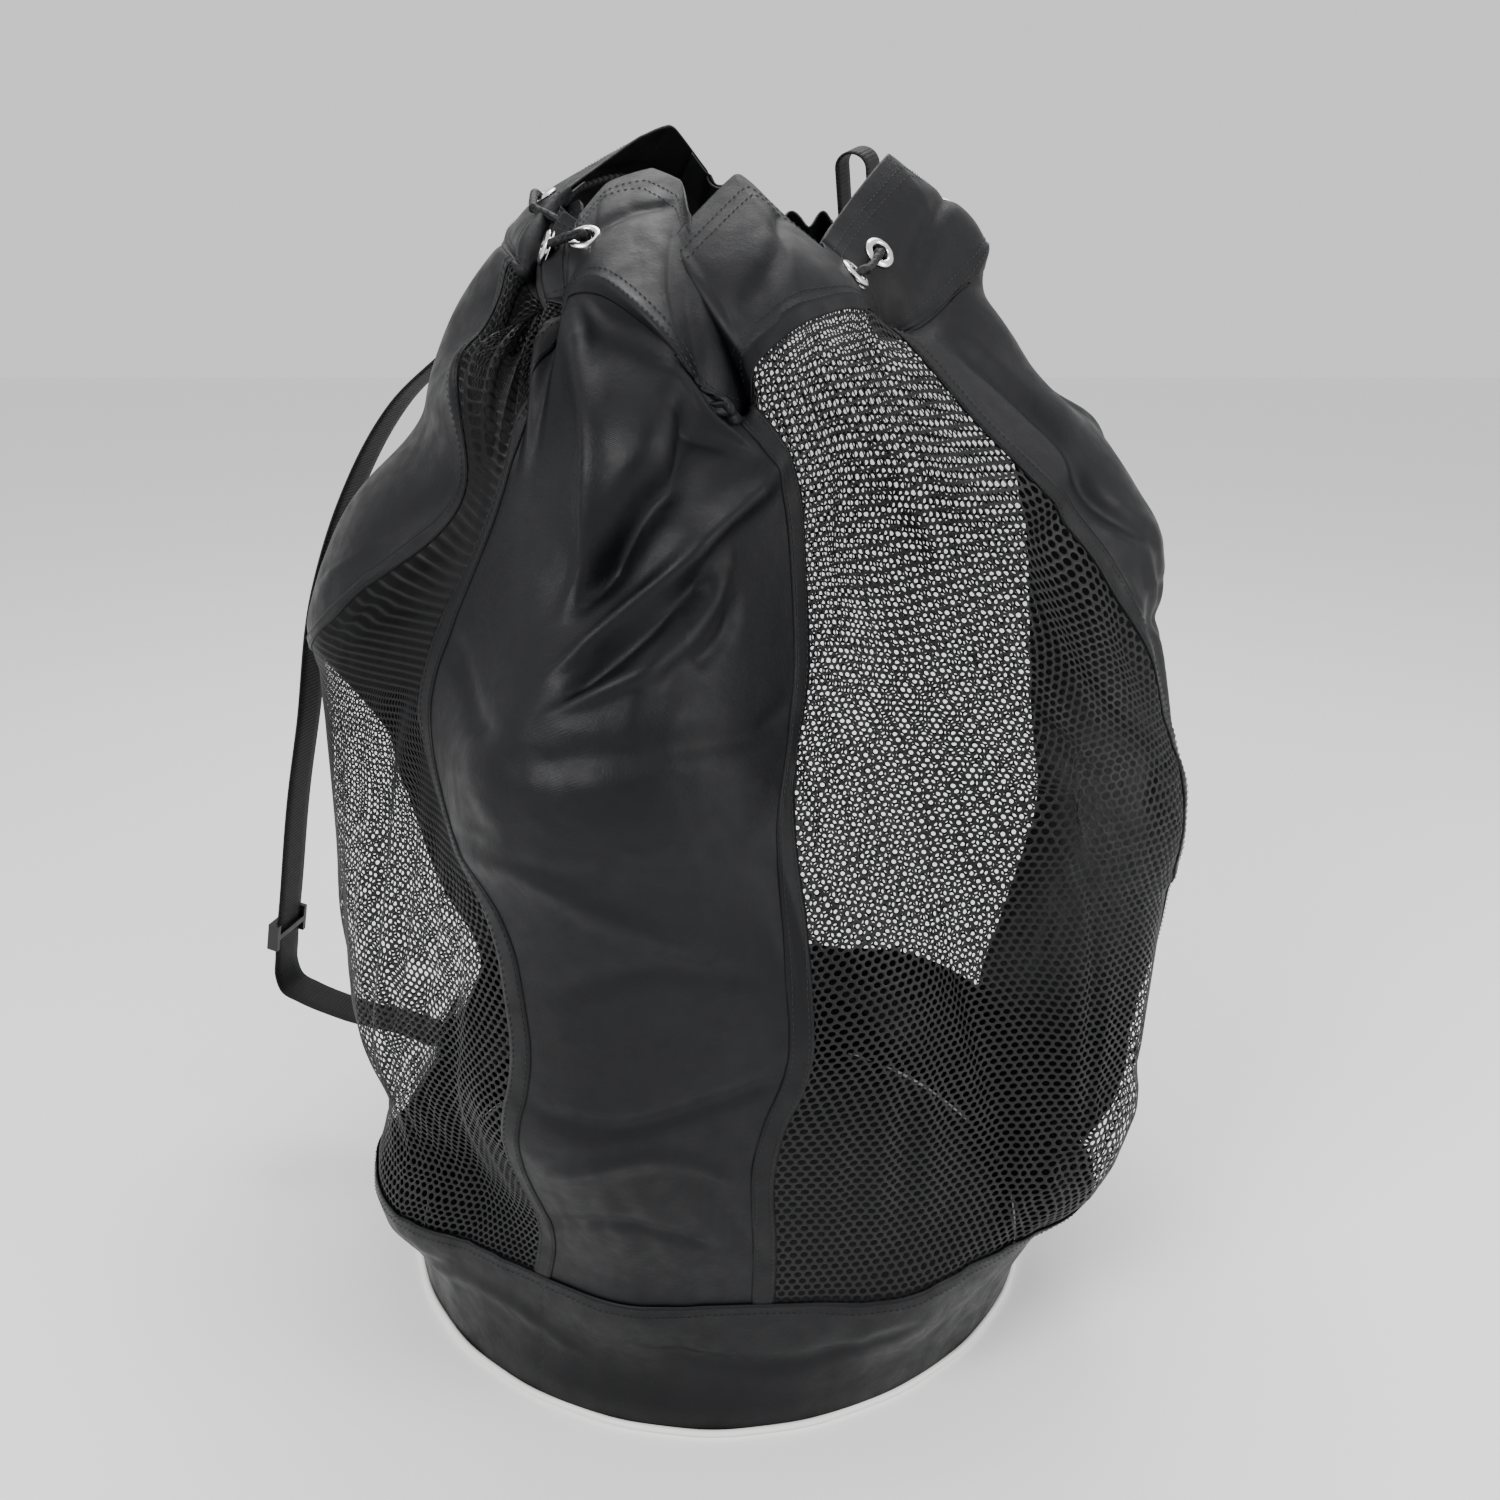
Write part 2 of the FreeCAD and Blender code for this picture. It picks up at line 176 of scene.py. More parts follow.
def cordMaterial():
    mat = Mat("braidedCord", (0.004, 0.004, 0.005), 0.55, **{"Specular IOR Level": 0.3})
    cloth = mat.place("UV")
    first = wave(mat, cloth, 90.0, "DIAGONAL")
    turned = mat.node("ShaderNodeMapping", 0, {"Vector": cloth, "Scale": (-1.0, 1.0, 1.0)})
    second = wave(mat, turned, 90.0, "DIAGONAL")
    braid = first.high(second)
    # painted shade: the base colour is darker in the grooves between the braided strands, following the same
    # braid height as the bump
    mat.to("Base Color", mat.blendColors(braid, (0.0015, 0.0015, 0.0018), (0.007, 0.007, 0.008)))
    mat.to("Normal", mat.bump(braid, 0.0008, 0.8))
    return mat.material


def metalMaterial():
    mat = Mat("nickelEyelet", (0.78, 0.78, 0.77), 0.24, **{"Metallic": 1.0})
    scuff = mat.noise(mat.place("Object"), 260.0, 4.0)
    mat.to("Roughness", mat.ramp(scuff, 0.3, 0.8, 0.16, 0.4))
    return mat.material


def plasticMaterial(name, color, roughness):
    mat = Mat(name, color, roughness, **{"Specular IOR Level": 0.35})
    scuff = mat.noise(mat.place("Object"), 120.0, 4.0)
    mat.to("Roughness", mat.ramp(scuff, 0.3, 0.8, roughness - 0.07, roughness + 0.1))
    mat.to("Normal", mat.bump(mat.noise(mat.place("Object"), 900.0, 2.0), 0.0001, 0.3))
    return mat.material


nylon = nylonMaterial("coatedNylon", (0.0022, 0.0023, 0.0032))
nylonBand = nylonMaterial("bandNylon", (0.0022, 0.0023, 0.003))
seamCloth = nylonMaterial("seamNylon", (0.0018, 0.0019, 0.0025))
yarn = meshMaterial()
webbing = webbingMaterial()
braid = cordMaterial()
metal = metalMaterial()
sliderPlastic = plasticMaterial("sliderPlastic", (0.005, 0.005, 0.006), 0.4)
pipingPlastic = plasticMaterial("pipingWhite", (0.80, 0.80, 0.78), 0.38)
thread = plasticMaterial("stitchThread", (0.009, 0.0095, 0.012), 0.6)
print("materials ready")

# the filled bag as one grid of cloth, rows up from the floor and columns round it

panelNames = ["front", "right_front", "right_rear", "rear", "left_rear", "left_front"]
panelKinds = ["nylon", "mesh", "nylon", "mesh", "nylon", "mesh"]
panelColumns = [26, 46, 26, 46, 26, 50]
gridRows = 116
seamLevel = 0.80

# azimuth of each panel border, as (height, degrees from the front towards the right)
borderAngles = [
    [(0, -29), (0.137, -27), (0.21, -26), (0.29, -24), (0.37, -20), (0.45, -22),
     (0.50, -27), (0.555, -31), (0.66, -32), (0.72, -36), (0.80, -40)],
    [(0, 7), (0.15, 7.3), (0.28, 7.7), (0.31, 9.8), (0.44, 9.8), (0.51, 8),
     (0.5665, 7.3), (0.60, 9), (0.67, 11.2), (0.73, 13), (0.80, 12)],
    [(0, 78), (0.5, 76), (0.645, 64), (0.7, 62), (0.8, 70)],
    [(0, 122), (0.8, 124)],
    [(0, 198), (0.8, 200)],
    [(0, 242), (0.42, 248), (0.5, 258), (0.56, 270), (0.62, 290), (0.66, 306), (0.72, 314), (0.80, 317)],
]

# radius of the filled bag by height, a little outside the balls it holds
profileHeights = [0, 0.06, 0.12, 0.20, 0.30, 0.42, 0.52, 0.60, 0.68, 0.75, 0.80]
profileRadii = [0.272, 0.284, 0.300, 0.345, 0.357, 0.358, 0.355, 0.345, 0.315, 0.27, 0.235]

# the seam between body and collar: (panel number and share across it, place)
neckSeam = [
    (0, (-0.095, -0.115, 0.815)), (0.4, (-0.060, -0.155, 0.822)), (0.6, (-0.030, -0.182, 0.800)),
    (0.8, (-0.005, -0.190, 0.772)), (0.92, (0.014, -0.182, 0.748)), (1, (0.030, -0.150, 0.738)),
    (1.1, (0.024, -0.165, 0.775)), (1.25, (0.045, -0.162, 0.800)), (1.5, (0.075, -0.135, 0.812)),
    (1.75, (0.100, -0.100, 0.812)), (1.9, (0.112, -0.062, 0.800)), (2, (0.122, -0.035, 0.785)),
    (2.25, (0.150, -0.010, 0.790)), (2.5, (0.190, 0.030, 0.815)), (2.75, (0.212, 0.070, 0.840)),
    (3, (0.195, 0.130, 0.835)), (3.25, (0.150, 0.165, 0.815)), (3.5, (0.095, 0.170, 0.80)),
    (3.75, (0.045, 0.160, 0.80)), (4, (-0.020, 0.165, 0.815)), (4.25, (-0.09, 0.15, 0.845)),
    (4.5, (-0.135, 0.095, 0.858)), (4.7, (-0.152, 0.04, 0.855)), (4.85, (-0.148, -0.02, 0.845)),
    (5, (-0.130, -0.078, 0.832)), (5.3, (-0.112, -0.062, 0.80)), (5.65, (-0.102, -0.085, 0.80)),
]

# the free hem of the collar
mouthHem = [
    (0, (-0.088, -0.070, 0.862)), (0.25, (-0.070, -0.035, 0.884)), (0.5, (-0.040, -0.025, 0.893)),
    (0.7, (-0.018, -0.050, 0.884)), (0.88, (-0.012, -0.090, 0.864)), (1, (-0.006, -0.098, 0.842)),
    (1.1, (-0.024, -0.106, 0.846)), (1.25, (-0.004, -0.084, 0.868)), (1.4, (0.019, -0.062, 0.889)),
    (1.6, (0.045, -0.062, 0.868)), (1.78, (0.064, -0.068, 0.850)), (1.9, (0.080, -0.062, 0.838)),
    (2, (0.078, -0.040, 0.846)), (2.25, (0.100, 0.005, 0.874)), (2.5, (0.130, 0.050, 0.905)),
    (2.75, (0.150, 0.085, 0.892)), (3, (0.140, 0.125, 0.872)), (3.25, (0.105, 0.150, 0.860)),
    (3.5, (0.07, 0.152, 0.860)), (3.75, (0.03, 0.142, 0.868)), (4, (-0.005, 0.135, 0.895)),
    (4.25, (-0.032, 0.108, 0.928)), (4.5, (-0.055, 0.075, 0.918)), (4.75, (-0.080, 0.030, 0.898)),
    (5, (-0.100, -0.020, 0.880)), (5.3, (-0.095, -0.035, 0.862)), (5.65, (-0.092, -0.055, 0.858)),
]

# middles of the balls that hold the bag out while it is shaped
ballRadius = 0.109
ballPlaces = [
    (0.135, -0.225, 0.636), (0.065, -0.176, 0.353), (0.245, -0.087, 0.438), (0.228, -0.106, 0.1965),
    (-0.205, -0.004, 0.325), (0.1036, -0.155, 0.118), (-0.19, -0.09, 0.15), (-0.119, -0.05, 0.735),
    (-0.215, -0.02, 0.60), (-0.06, -0.205, 0.52), (-0.07, -0.195, 0.29), (-0.04, -0.16, 0.118),
    (-0.02, -0.135, 0.68), (0.25, 0.05, 0.61), (0.22, 0.13, 0.33), (0.15, 0.14, 0.12),
    (0.06, 0.23, 0.45), (0.11, 0.17, 0.66), (-0.03, 0.2, 0.2), (-0.11, 0.2, 0.56),
    (-0.19, 0.16, 0.38), (-0.16, 0.1, 0.13), (-0.10, 0.08, 0.73), (0.16, -0.02, 0.72),
]


def smoothTable(keys, values, at):
    keys = np.array(keys, float)
    values = np.array(values, float)
    at = np.clip(np.asarray(at, float), keys[0], keys[-1])
    slopes = np.gradient(values, keys, axis=0)
    k = np.clip(np.searchsorted(keys, at, side="right") - 1, 0, len(keys) - 2)
    gap = keys[k + 1] - keys[k]
    t = (at - keys[k]) / gap
    if values.ndim > 1:
        gap = gap[:, None]
        t = t[:, None]
    first = (2 * t**3 - 3 * t**2 + 1) * values[k] + (t**3 - 2 * t**2 + t) * gap * slopes[k]
    second = (-2 * t**3 + 3 * t**2) * values[k + 1] + (t**3 - t**2) * gap * slopes[k + 1]
    return first + second


def ringTable(nodes, at):
    keys = [nodes[-2][0] - 6, nodes[-1][0] - 6] + [n[0] for n in nodes] + [6 + nodes[0][0], 6 + nodes[1][0]]
    values = [nodes[-2][1], nodes[-1][1]] + [n[1] for n in nodes] + [nodes[0][1], nodes[1][1]]
    return smoothTable(keys, values, at)


columnStarts = np.concatenate([[0], np.cumsum(panelColumns)])
gridColumns = int(columnStarts[-1])
columnPlaces = np.concatenate([k + np.arange(c) / c for k, c in enumerate(panelColumns)])


def columnOf(place):
    place = np.asarray(place, float)
    whole = np.floor(place).astype(int)
    share = place - whole
    turn = whole // 6
    whole = whole % 6
    return columnStarts[whole] + share * np.array(panelColumns)[whole] + turn * gridColumns


def startGrid():
    grid = np.zeros((gridRows, gridColumns, 3))
    neck = ringTable(neckSeam, columnPlaces)
    radii = smoothTable(profileHeights, profileRadii, np.linspace(0, seamLevel, gridRows))
    for i in range(gridRows):
        share = i / (gridRows - 1)
        z = seamLevel * share
        angles = [float(smoothTable([a for a, b in t], [b for a, b in t], [z])[0]) for t in borderAngles]
        angles.append(angles[0] + 360)
        angle = np.radians(np.interp(columnPlaces, np.arange(7), angles))
        middle = 0.028 * math.sin(min(1, z / 0.5) * math.pi / 2)
        x = middle + radii[i] * np.sin(angle)
        y = -radii[i] * np.cos(angle)
        w = min(max((share - 0.72) / 0.28, 0), 1) ** 1.3
        w = w * w * (3 - 2 * w)
        grid[i, :, 0] = x * (1 - w) + neck[:, 0] * w
        grid[i, :, 1] = y * (1 - w) + neck[:, 1] * w
        grid[i, :, 2] = z + (neck[:, 2] - seamLevel) * max((share - 0.4) / 0.6, 0) ** 1.2
    return grid


def turnFacesOut(obj):
    work = bmesh.new()
    work.from_mesh(obj.data)
    bmesh.ops.recalc_face_normals(work, faces=work.faces[:])
    work.to_mesh(obj.data)
    work.free()


def gridFaces(rows, columns, closed):
    i, j = np.meshgrid(np.arange(rows - 1), np.arange(columns if closed else columns - 1), indexing="ij")
    right = (j + 1) % columns
    faces = np.stack(
        [i * columns + j, i * columns + right, (i + 1) * columns + right, (i + 1) * columns + j], -1)
    return faces.reshape(-1, 4)


def meshFrom(name, points, faces):
    data = bpy.data.meshes.new(name)
    data.from_pydata(np.asarray(points).reshape(-1, 3).tolist(), [],
                     [list(f) for f in np.asarray(faces).tolist()])
    data.update()
    obj = bpy.data.objects.new(name, data)
    scene.collection.objects.link(obj)
    return obj


def relaxGrid(grid):
    # the cloth is drawn in over the balls, pinned at the floor and at the neck seam
    balls = bmesh.new()
    for place in ballPlaces:
        bmesh.ops.create_uvsphere(balls, u_segments=32, v_segments=16, radius=ballRadius,
                                  matrix=Matrix.Translation(place))
    ballData = bpy.data.meshes.new("ballForms")
    balls.to_mesh(ballData)
    balls.free()
    ballObj = bpy.data.objects.new("ballForms", ballData)
    scene.collection.objects.link(ballObj)
    ballObj.modifiers.new("collide", "COLLISION")
    ballObj.collision.thickness_outer = 0.003
    ballObj.collision.cloth_friction = 4
    cloth = meshFrom("clothForm", grid, gridFaces(gridRows, gridColumns, True))
    pin = cloth.vertex_groups.new(name="pin")
    top = (gridRows - 1) * gridColumns
    pin.add(list(range(gridColumns)) + list(range(top, top + gridColumns)), 1.0, "REPLACE")
    pin.add(list(range(gridColumns, 4 * gridColumns)), 0.6, "REPLACE")
    shrink = cloth.vertex_groups.new(name="shrink")
    for i in range(gridRows):
        ease = max(1 - max(i - gridRows * 0.72, 0) / (gridRows * 0.28), 0.35)
        for j in range(gridColumns):
            tight = 1.0 if panelKinds[int(columnPlaces[j])] == "mesh" else 0.45
            shrink.add([i * gridColumns + j], tight * ease, "REPLACE")
    modifier = cloth.modifiers.new("cloth", "CLOTH")
    settings = modifier.settings
    settings.quality = 6
    settings.mass = 0.15
    settings.tension_stiffness = 22
    settings.compression_stiffness = 10
    settings.shear_stiffness = 4
    settings.bending_stiffness = 0.15
    settings.vertex_group_mass = "pin"
    settings.vertex_group_shrink = "shrink"
    settings.shrink_min = 0.0
    settings.shrink_max = 0.075
    settings.air_damping = 2
    settings.effector_weights.gravity = 0.45
    modifier.collision_settings.collision_quality = 3
    modifier.collision_settings.distance_min = 0.003
    modifier.point_cache.frame_end = 60
    for step in range(1, 46):
        scene.frame_set(step)
    shaped = cloth.evaluated_get(bpy.context.evaluated_depsgraph_get()).to_mesh()
    points = np.array([v.co for v in shaped.vertices], float).reshape(grid.shape)
    scene.frame_set(1)
    for obj in (cloth, ballObj):
        bpy.data.objects.remove(obj, do_unlink=True)
    return points


body = startGrid()
body = relaxGrid(body)
print("cloth settled")


def settle(grid, times):
    # takes the sawtooth out of the settled cloth without losing its folds
    for _ in range(times):
        inner = grid[1:-1]
        sides = np.roll(inner, 1, 1) + np.roll(inner, -1, 1) + grid[:-2] + grid[2:]
        grid[1:-1] = inner * 0.5 + sides * 0.125
    return grid


body = settle(body, 2)

# the cloth hangs slacker on the left, just below the neck and just above the band: (height, spread, reach)
for height, spread, reach in ((0.69, 0.105, 0.038), (0.178, 0.055, 0.030)):
    pull = reach * np.exp(-(((body[..., 2] - height) / spread) ** 2))
    body[..., 0] += pull * np.clip((-body[..., 0] - 0.06) / 0.15, 0, 1)


def calm(grid, share, times):
    # evens out the cloth where it crumples against the neck seam, by a share for each place
    for _ in range(times):
        inner = grid[1:-1]
        sides = np.roll(inner, 1, 1) + np.roll(inner, -1, 1) + grid[:-2] + grid[2:]
        grid[1:-1] = inner + (sides / 4 - inner) * share[1:-1, :, None]
    return grid


rowNumber, columnNumber = np.meshgrid(np.arange(gridRows), np.arange(gridColumns), indexing="ij")
columnNumber = np.where(columnNumber > 150, columnNumber - gridColumns, columnNumber)
highUp = np.clip((rowNumber - 80) / 10, 0, 1)
body = calm(body, 0.55 * np.clip((rowNumber - 88) / 12, 0, 1), 8)
body = calm(body, 0.9 * highUp * np.exp(-(((columnNumber - 31) / 11.0) ** 4)), 90)
body = calm(body, 0.9 * highUp * np.exp(-(((columnNumber + 12) / 14.0) ** 4)), 60)

collarRows = 14
hemKeys = [a for a, b in mouthHem] + [6]
hemSpots = np.array([b for a, b in mouthHem] + [mouthHem[0][1]])
hemStraight = np.stack([np.interp(columnPlaces, hemKeys, hemSpots[:, m]) for m in range(3)], 1)
hemRing = 0.35 * ringTable(mouthHem, columnPlaces) + 0.65 * hemStraight
seamRing = body[-1]


def ringOutward(ring):
    along = np.roll(ring, -1, 0) - np.roll(ring, 1, 0)
    out = np.stack([along[:, 1], -along[:, 0], np.zeros(len(ring))], 1)
    return out / np.maximum(np.linalg.norm(out, axis=1), 1e-9)[:, None]


def collarGrid():
    rows = []
    out = ringOutward((seamRing + hemRing) / 2)
    for step in range(1, collarRows + 1):
        q = step / collarRows
        bow = 0.010 * math.sin(math.pi * q)
        ripple = 0.0022 * np.sin(columnPlaces * 9.0 + 4.0 * q) * math.sin(math.pi * q)
        rows.append(seamRing * (1 - q) + hemRing * q + out * (bow + ripple)[:, None])
    return np.array(rows)


bag = np.concatenate([body, collarGrid()])
bagRows = len(bag)
neckRow = gridRows - 1
hemRow = bagRows - 1
fine = {"step": 1, "grid": bag}


def tap(t):
    return (
        -0.5 * t + t**2 - 0.5 * t**3,
        1 - 2.5 * t**2 + 1.5 * t**3,
        0.5 * t + 2 * t**2 - 1.5 * t**3,
        -0.5 * t**2 + 0.5 * t**3,
    )


def surface(rows, columns, source=None):
    rows, columns = np.broadcast_arrays(np.asarray(rows, float), np.asarray(columns, float))
    source = source or fine
    grid = source["grid"]
    high, wide = grid.shape[:2]
    rows = np.clip(rows * source["step"], 0, high - 1)
    columns = columns * source["step"]
    i = np.clip(np.floor(rows).astype(int), 0, high - 2)
    j = np.floor(columns).astype(int)
    a = tap((rows - i)[..., None])
    b = tap((columns - j)[..., None])
    total = 0
    for m in range(4):
        r = np.clip(i + m - 1, 0, high - 1)
        line = 0
        for n in range(4):
            line = line + b[n] * grid[r, (j + n - 1) % wide]
        total = total + a[m] * line
    return total


def outward(rows, columns, source=None):
    rows, columns = np.broadcast_arrays(np.asarray(rows, float), np.asarray(columns, float))
    up = surface(rows + 0.6, columns, source) - surface(rows - 0.6, columns, source)
    along = surface(rows, columns + 0.6, source) - surface(rows, columns - 0.6, source)
    normal = np.cross(along, up)
    return normal / np.maximum(np.linalg.norm(normal, axis=-1), 1e-12)[..., None]


# folds in the cloth: (places as row and column, how far out or in, half width at each end), metres
foldLines = [
    ([(112, 22), (108, 20), (103, 17), (99, 13), (95, 9.5), (92, 7)], -0.026, 0.034, 0.009),
    ([(112, 3), (106, 6), (101, 8.5), (96, 7.5), (91, 5.5)], 0.008, 0.012, 0.007),
    ([(106, 31), (103, 24), (99, 18), (94, 13), (90, 9.5), (86, 6)], 0.012, 0.012, 0.005),
    ([(97, 19), (93, 14.5), (88, 10.5), (84, 7.5)], -0.010, 0.013, 0.007),
    ([(98, 21), (94, 18), (90, 15.5), (86, 11.5), (82.5, 7)], 0.005, 0.009, 0.005),
    ([(95, 22), (92, 20), (89, 17)], -0.004, 0.008, 0.006),
    ([(78, 3), (80, 11), (82.5, 18), (86, 30)], -0.004, 0.014, 0.010),
    ([(87, -18), (84, -8), (80, 3)], -0.005, 0.014, 0.010),
    ([(69, -6), (69, 2), (65, 8), (61, 16)], 0.0035, 0.012, 0.010),
    ([(57, 0), (60, 9), (58, 20)], -0.0025, 0.012, 0.010),
    ([(45, 0), (43, 8), (44, 16), (46, 23)], -0.0035, 0.010, 0.008),
    ([(36, 2), (39, 12), (34, 22)], 0.003, 0.010, 0.008),
    ([(27, 1), (30, 9), (26, 19)], -0.003, 0.009, 0.007),
    ([(112, 78), (104, 80), (96, 78), (88, 82)], -0.007, 0.016, 0.008),
    ([(110, 90), (100, 88), (90, 92)], 0.006, 0.014, 0.008),
    ([(84, 76), (80, 84), (82, 94)], -0.005, 0.012, 0.009),
    ([(70, 74), (66, 84), (69, 95)], 0.004, 0.012, 0.009),
    ([(112, 150), (103, 153), (94, 150)], -0.006, 0.015, 0.008),
    ([(104, 162), (96, 160), (88, 165)], 0.006, 0.014, 0.008),
    ([(80, 146), (76, 156), (79, 168)], -0.005, 0.013, 0.010),
    ([(55, 147), (52, 158), (56, 168)], 0.004, 0.012, 0.009),
    ([(112, 40), (104, 44), (96, 42)], -0.005, 0.014, 0.008),
    ([(110, 56), (102, 54), (95, 58)], 0.005, 0.014, 0.008),
    ([(12, 10), (9, 26), (13, 40)], -0.003, 0.010, 0.008),
    ([(8, -20), (12, -8), (7, 6)], 0.0025, 0.010, 0.008),
    ([(13, 60), (8, 74), (12, 90)], 0.003, 0.010, 0.008),
    ([(7, 110), (12, 126), (8, 144)], -0.003, 0.010, 0.008),
    ([(12, 160), (7, 178), (11, 196)], 0.003, 0.010, 0.008),
    ([(121, 4), (124, 12), (127, 18)], -0.004, 0.012, 0.006),
    ([(118, 34), (122, 44), (127, 52)], -0.004, 0.012, 0.006),
    ([(119, 78), (123, 86), (126, 96)], -0.004, 0.012, 0.006),
]


def foldHeight(points):
    height = np.zeros(points.shape[:2])
    for places, reach, wideStart, wideEnd in foldLines:
        spots = smoothPath([(a, b) for a, b in places], 26)
        line = surface(spots[:, 0], spots[:, 1])
        around = (fineColumns - spots[:, 1].mean() + gridColumns / 2) % gridColumns - gridColumns / 2
        window = (np.abs(around) < np.ptp(spots[:, 1]) / 2 + 11) & (
            np.abs(fineRows - spots[:, 0].mean()) < np.ptp(spots[:, 0]) / 2 + 12)
        here = points[window]
        near = np.full(len(here), 1e9)
        at = np.zeros(len(here))
        for number in range(len(line) - 1):
            way = line[number + 1] - line[number]
            share = np.clip((here - line[number]) @ way / (way @ way), 0, 1)
            gap = np.linalg.norm(here - line[number] - share[:, None] * way, axis=1)
            at = np.where(gap < near, (number + share) / (len(line) - 1), at)
            near = np.minimum(gap, near)
        wide = wideStart + (wideEnd - wideStart) * at
        fade = 0.25 + 0.75 * np.clip(at / 0.18, 0, 1) * np.clip((1 - at) / 0.12, 0, 1)
        height[window] += reach * fade * np.exp(-((near / wide) ** 2) * 1.4) * (
            0.55 + 0.45 * wide / max(wideStart, wideEnd))
    return height


def smoothPath(points, count):
    points = np.asarray(points, float)
    keys = np.concatenate([[0], np.cumsum(np.linalg.norm(np.diff(points, axis=0), axis=1))])
    return smoothTable(keys, points, np.linspace(0, keys[-1], count))


fineStep = 3
fineRows, fineColumns = np.meshgrid(
    np.arange((bagRows - 1) * fineStep + 1) / fineStep,
    np.arange(gridColumns * fineStep) / fineStep, indexing="ij")
finePoints = surface(fineRows, fineColumns)
fineNormals = outward(fineRows, fineColumns)
for _ in range(6):
    fineNormals = fineNormals + np.roll(fineNormals, 1, 1) + np.roll(fineNormals, -1, 1)
    fineNormals[1:-1] = fineNormals[1:-1] + fineNormals[:-2] + fineNormals[2:]
    fineNormals /= np.linalg.norm(fineNormals, axis=-1)[..., None]
nearHem = np.clip((hemRow - fineRows) / 3, 0, 1)
nearFloor = np.clip(fineRows / 4, 0, 1)
finePoints = finePoints + fineNormals * (foldHeight(finePoints) * nearHem * nearFloor)[..., None]
plain = {"step": fineStep, "grid": finePoints}

# pleats where the drawcord gathers the wide mesh panels: (first column, last column, count, reach)
pleats = [(98, 144, 6, 0.009), (170, 220, 6, 0.012)]
pleated = np.zeros(finePoints.shape[:2])
for first, last, count, reach in pleats:
    share = np.clip((fineColumns - first) / (last - first), 0, 1)
    rise = np.clip((fineRows - 97) / 16, 0, 1)
    rise = rise * rise * (3 - 2 * rise)
    pleated += reach * rise * np.sin(2 * math.pi * count * share) * np.sin(math.pi * share) ** 0.3
fine = {"step": fineStep, "grid": finePoints + fineNormals * pleated[..., None]}
print("folds and pleats")

# the border of each panel on the cloth, as (row, column); they wander off the grid's own columns
borderPlaces = [
    [(0, -0.5), (18, -0.5), (34, -0.4), (46, -0.8), (56, -2.2), (63, -2.4), (68, -4),
     (72, -9.5), (76, -14), (83, -18), (90, -22), (95, -20), (102, -12), (109, -4), (113, -0.5), (115, 0)],
    [(0, 25.5), (21, 24.2), (39, 24.2), (56, 23.6), (67, 25), (77, 26.5),
     (81, 28), (86, 32), (92, 33.5), (99, 33), (105, 32.5), (109, 29), (112, 27), (115, 26)],
    [(0, 72), (40, 70), (50, 67), (60, 65.5), (70, 69),
     (78, 74), (86, 76), (94, 76), (101, 72.5), (108, 71), (115, 72)],
    [(0, 98), (115, 98)],
    [(0, 144), (60, 145), (75, 148), (84, 151), (90, 152), (96, 151), (106, 147), (115, 144)],
    [(0, 170), (60, 170), (75, 174), (84, 179), (90, 179), (96, 175), (107, 171), (115, 170)],
    [(0, 219.5), (115, 220)],
]


def borderColumn(k, rows):
    table = borderPlaces[k % 6]
    rows = np.asarray(rows, float)
    smooth = 0
    for shift in (-3, -1.5, 0, 1.5, 3):
        smooth = smooth + np.interp(rows + shift, [a for a, b in table], [b for a, b in table])
    hold = np.clip((neckRow - rows) / 4, 0, 1)
    exact = np.interp(rows, [a for a, b in table], [b for a, b in table])
    return smooth / 5 * hold + exact * (1 - hold) + (gridColumns if k == 6 else 0)


def panelColumn(k, rows, shares):
    return borderColumn(k, rows) * (1 - shares) + borderColumn(k + 1, rows) * shares


def rowAtHeight(height, column):
    rows = np.linspace(0, neckRow, 400)
    heights = surface(rows, np.full(400, float(column)))[:, 2]
    return float(rows[np.argmin(np.abs(heights - height))])


def finishPiece(obj, material, bodyName, nodes, smooth=True):
    obj.data.materials.append(material)
    obj.data.polygons.foreach_set("use_smooth", [smooth] * len(obj.data.polygons))
    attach(obj, bodyName)
    if nodes:
        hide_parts(*nodes)


columnWidth = 0.0088  # mean size of a grid cell, for the weave
rowHeight = 0.0070


def addUv(obj, uv):
    layer = obj.data.uv_layers.new(name="cloth")
    corners = np.zeros(len(obj.data.loops), int)
    obj.data.loops.foreach_get("vertex_index", corners)
    layer.data.foreach_set("uv", np.asarray(uv, float).reshape(-1, 2)[corners].ravel())


def clothUv(rows, columns):
    return np.stack([columns * columnWidth, rows * rowHeight], -1)


def thicken(obj, thickness):
    wall = obj.modifiers.new("wall", "SOLIDIFY")
    wall.thickness = thickness
    wall.offset = -1


def clothPiece(name, r, c, lift, thickness):
    points = surface(r, c) + outward(r, c) * lift
    obj = meshFrom(name, points, gridFaces(r.shape[0], r.shape[1], False))
    addUv(obj, clothUv(r, c))
    thicken(obj, thickness)
    return obj


bandTopRows = np.array([rowAtHeight(0.122, c) for c in range(gridColumns)])


def bandTop(columns):
    return np.interp(np.asarray(columns, float) % gridColumns, np.arange(gridColumns + 1),
                     np.append(bandTopRows, bandTopRows[0]))


bandRow = float(np.mean(bandTopRows))

# nylon body panels

nylonPanel = {"thickness": 0.0009, "lift": 0.0004}
for k in range(6):
    if panelKinds[k] != "nylon":
        continue
    upward, across = np.meshgrid(
        np.linspace(bandRow - 2.0, neckRow + 0.6, 330), np.linspace(-0.03, 1.03, 130), indexing="ij")
    columns = panelColumn(k, upward, across)
    panel = clothPiece("nylonPanel_" + panelNames[k], upward, columns,
                       nylonPanel["lift"], nylonPanel["thickness"])
    finishPiece(panel, nylon, "bag", ["nylon_panel_" + panelNames[k]])
print("nylon panels")

# knitted mesh panels with their real holes

knit = {"pitch": 0.0072, "hole": 0.36, "dip": 0.0006, "ringPoints": 12}


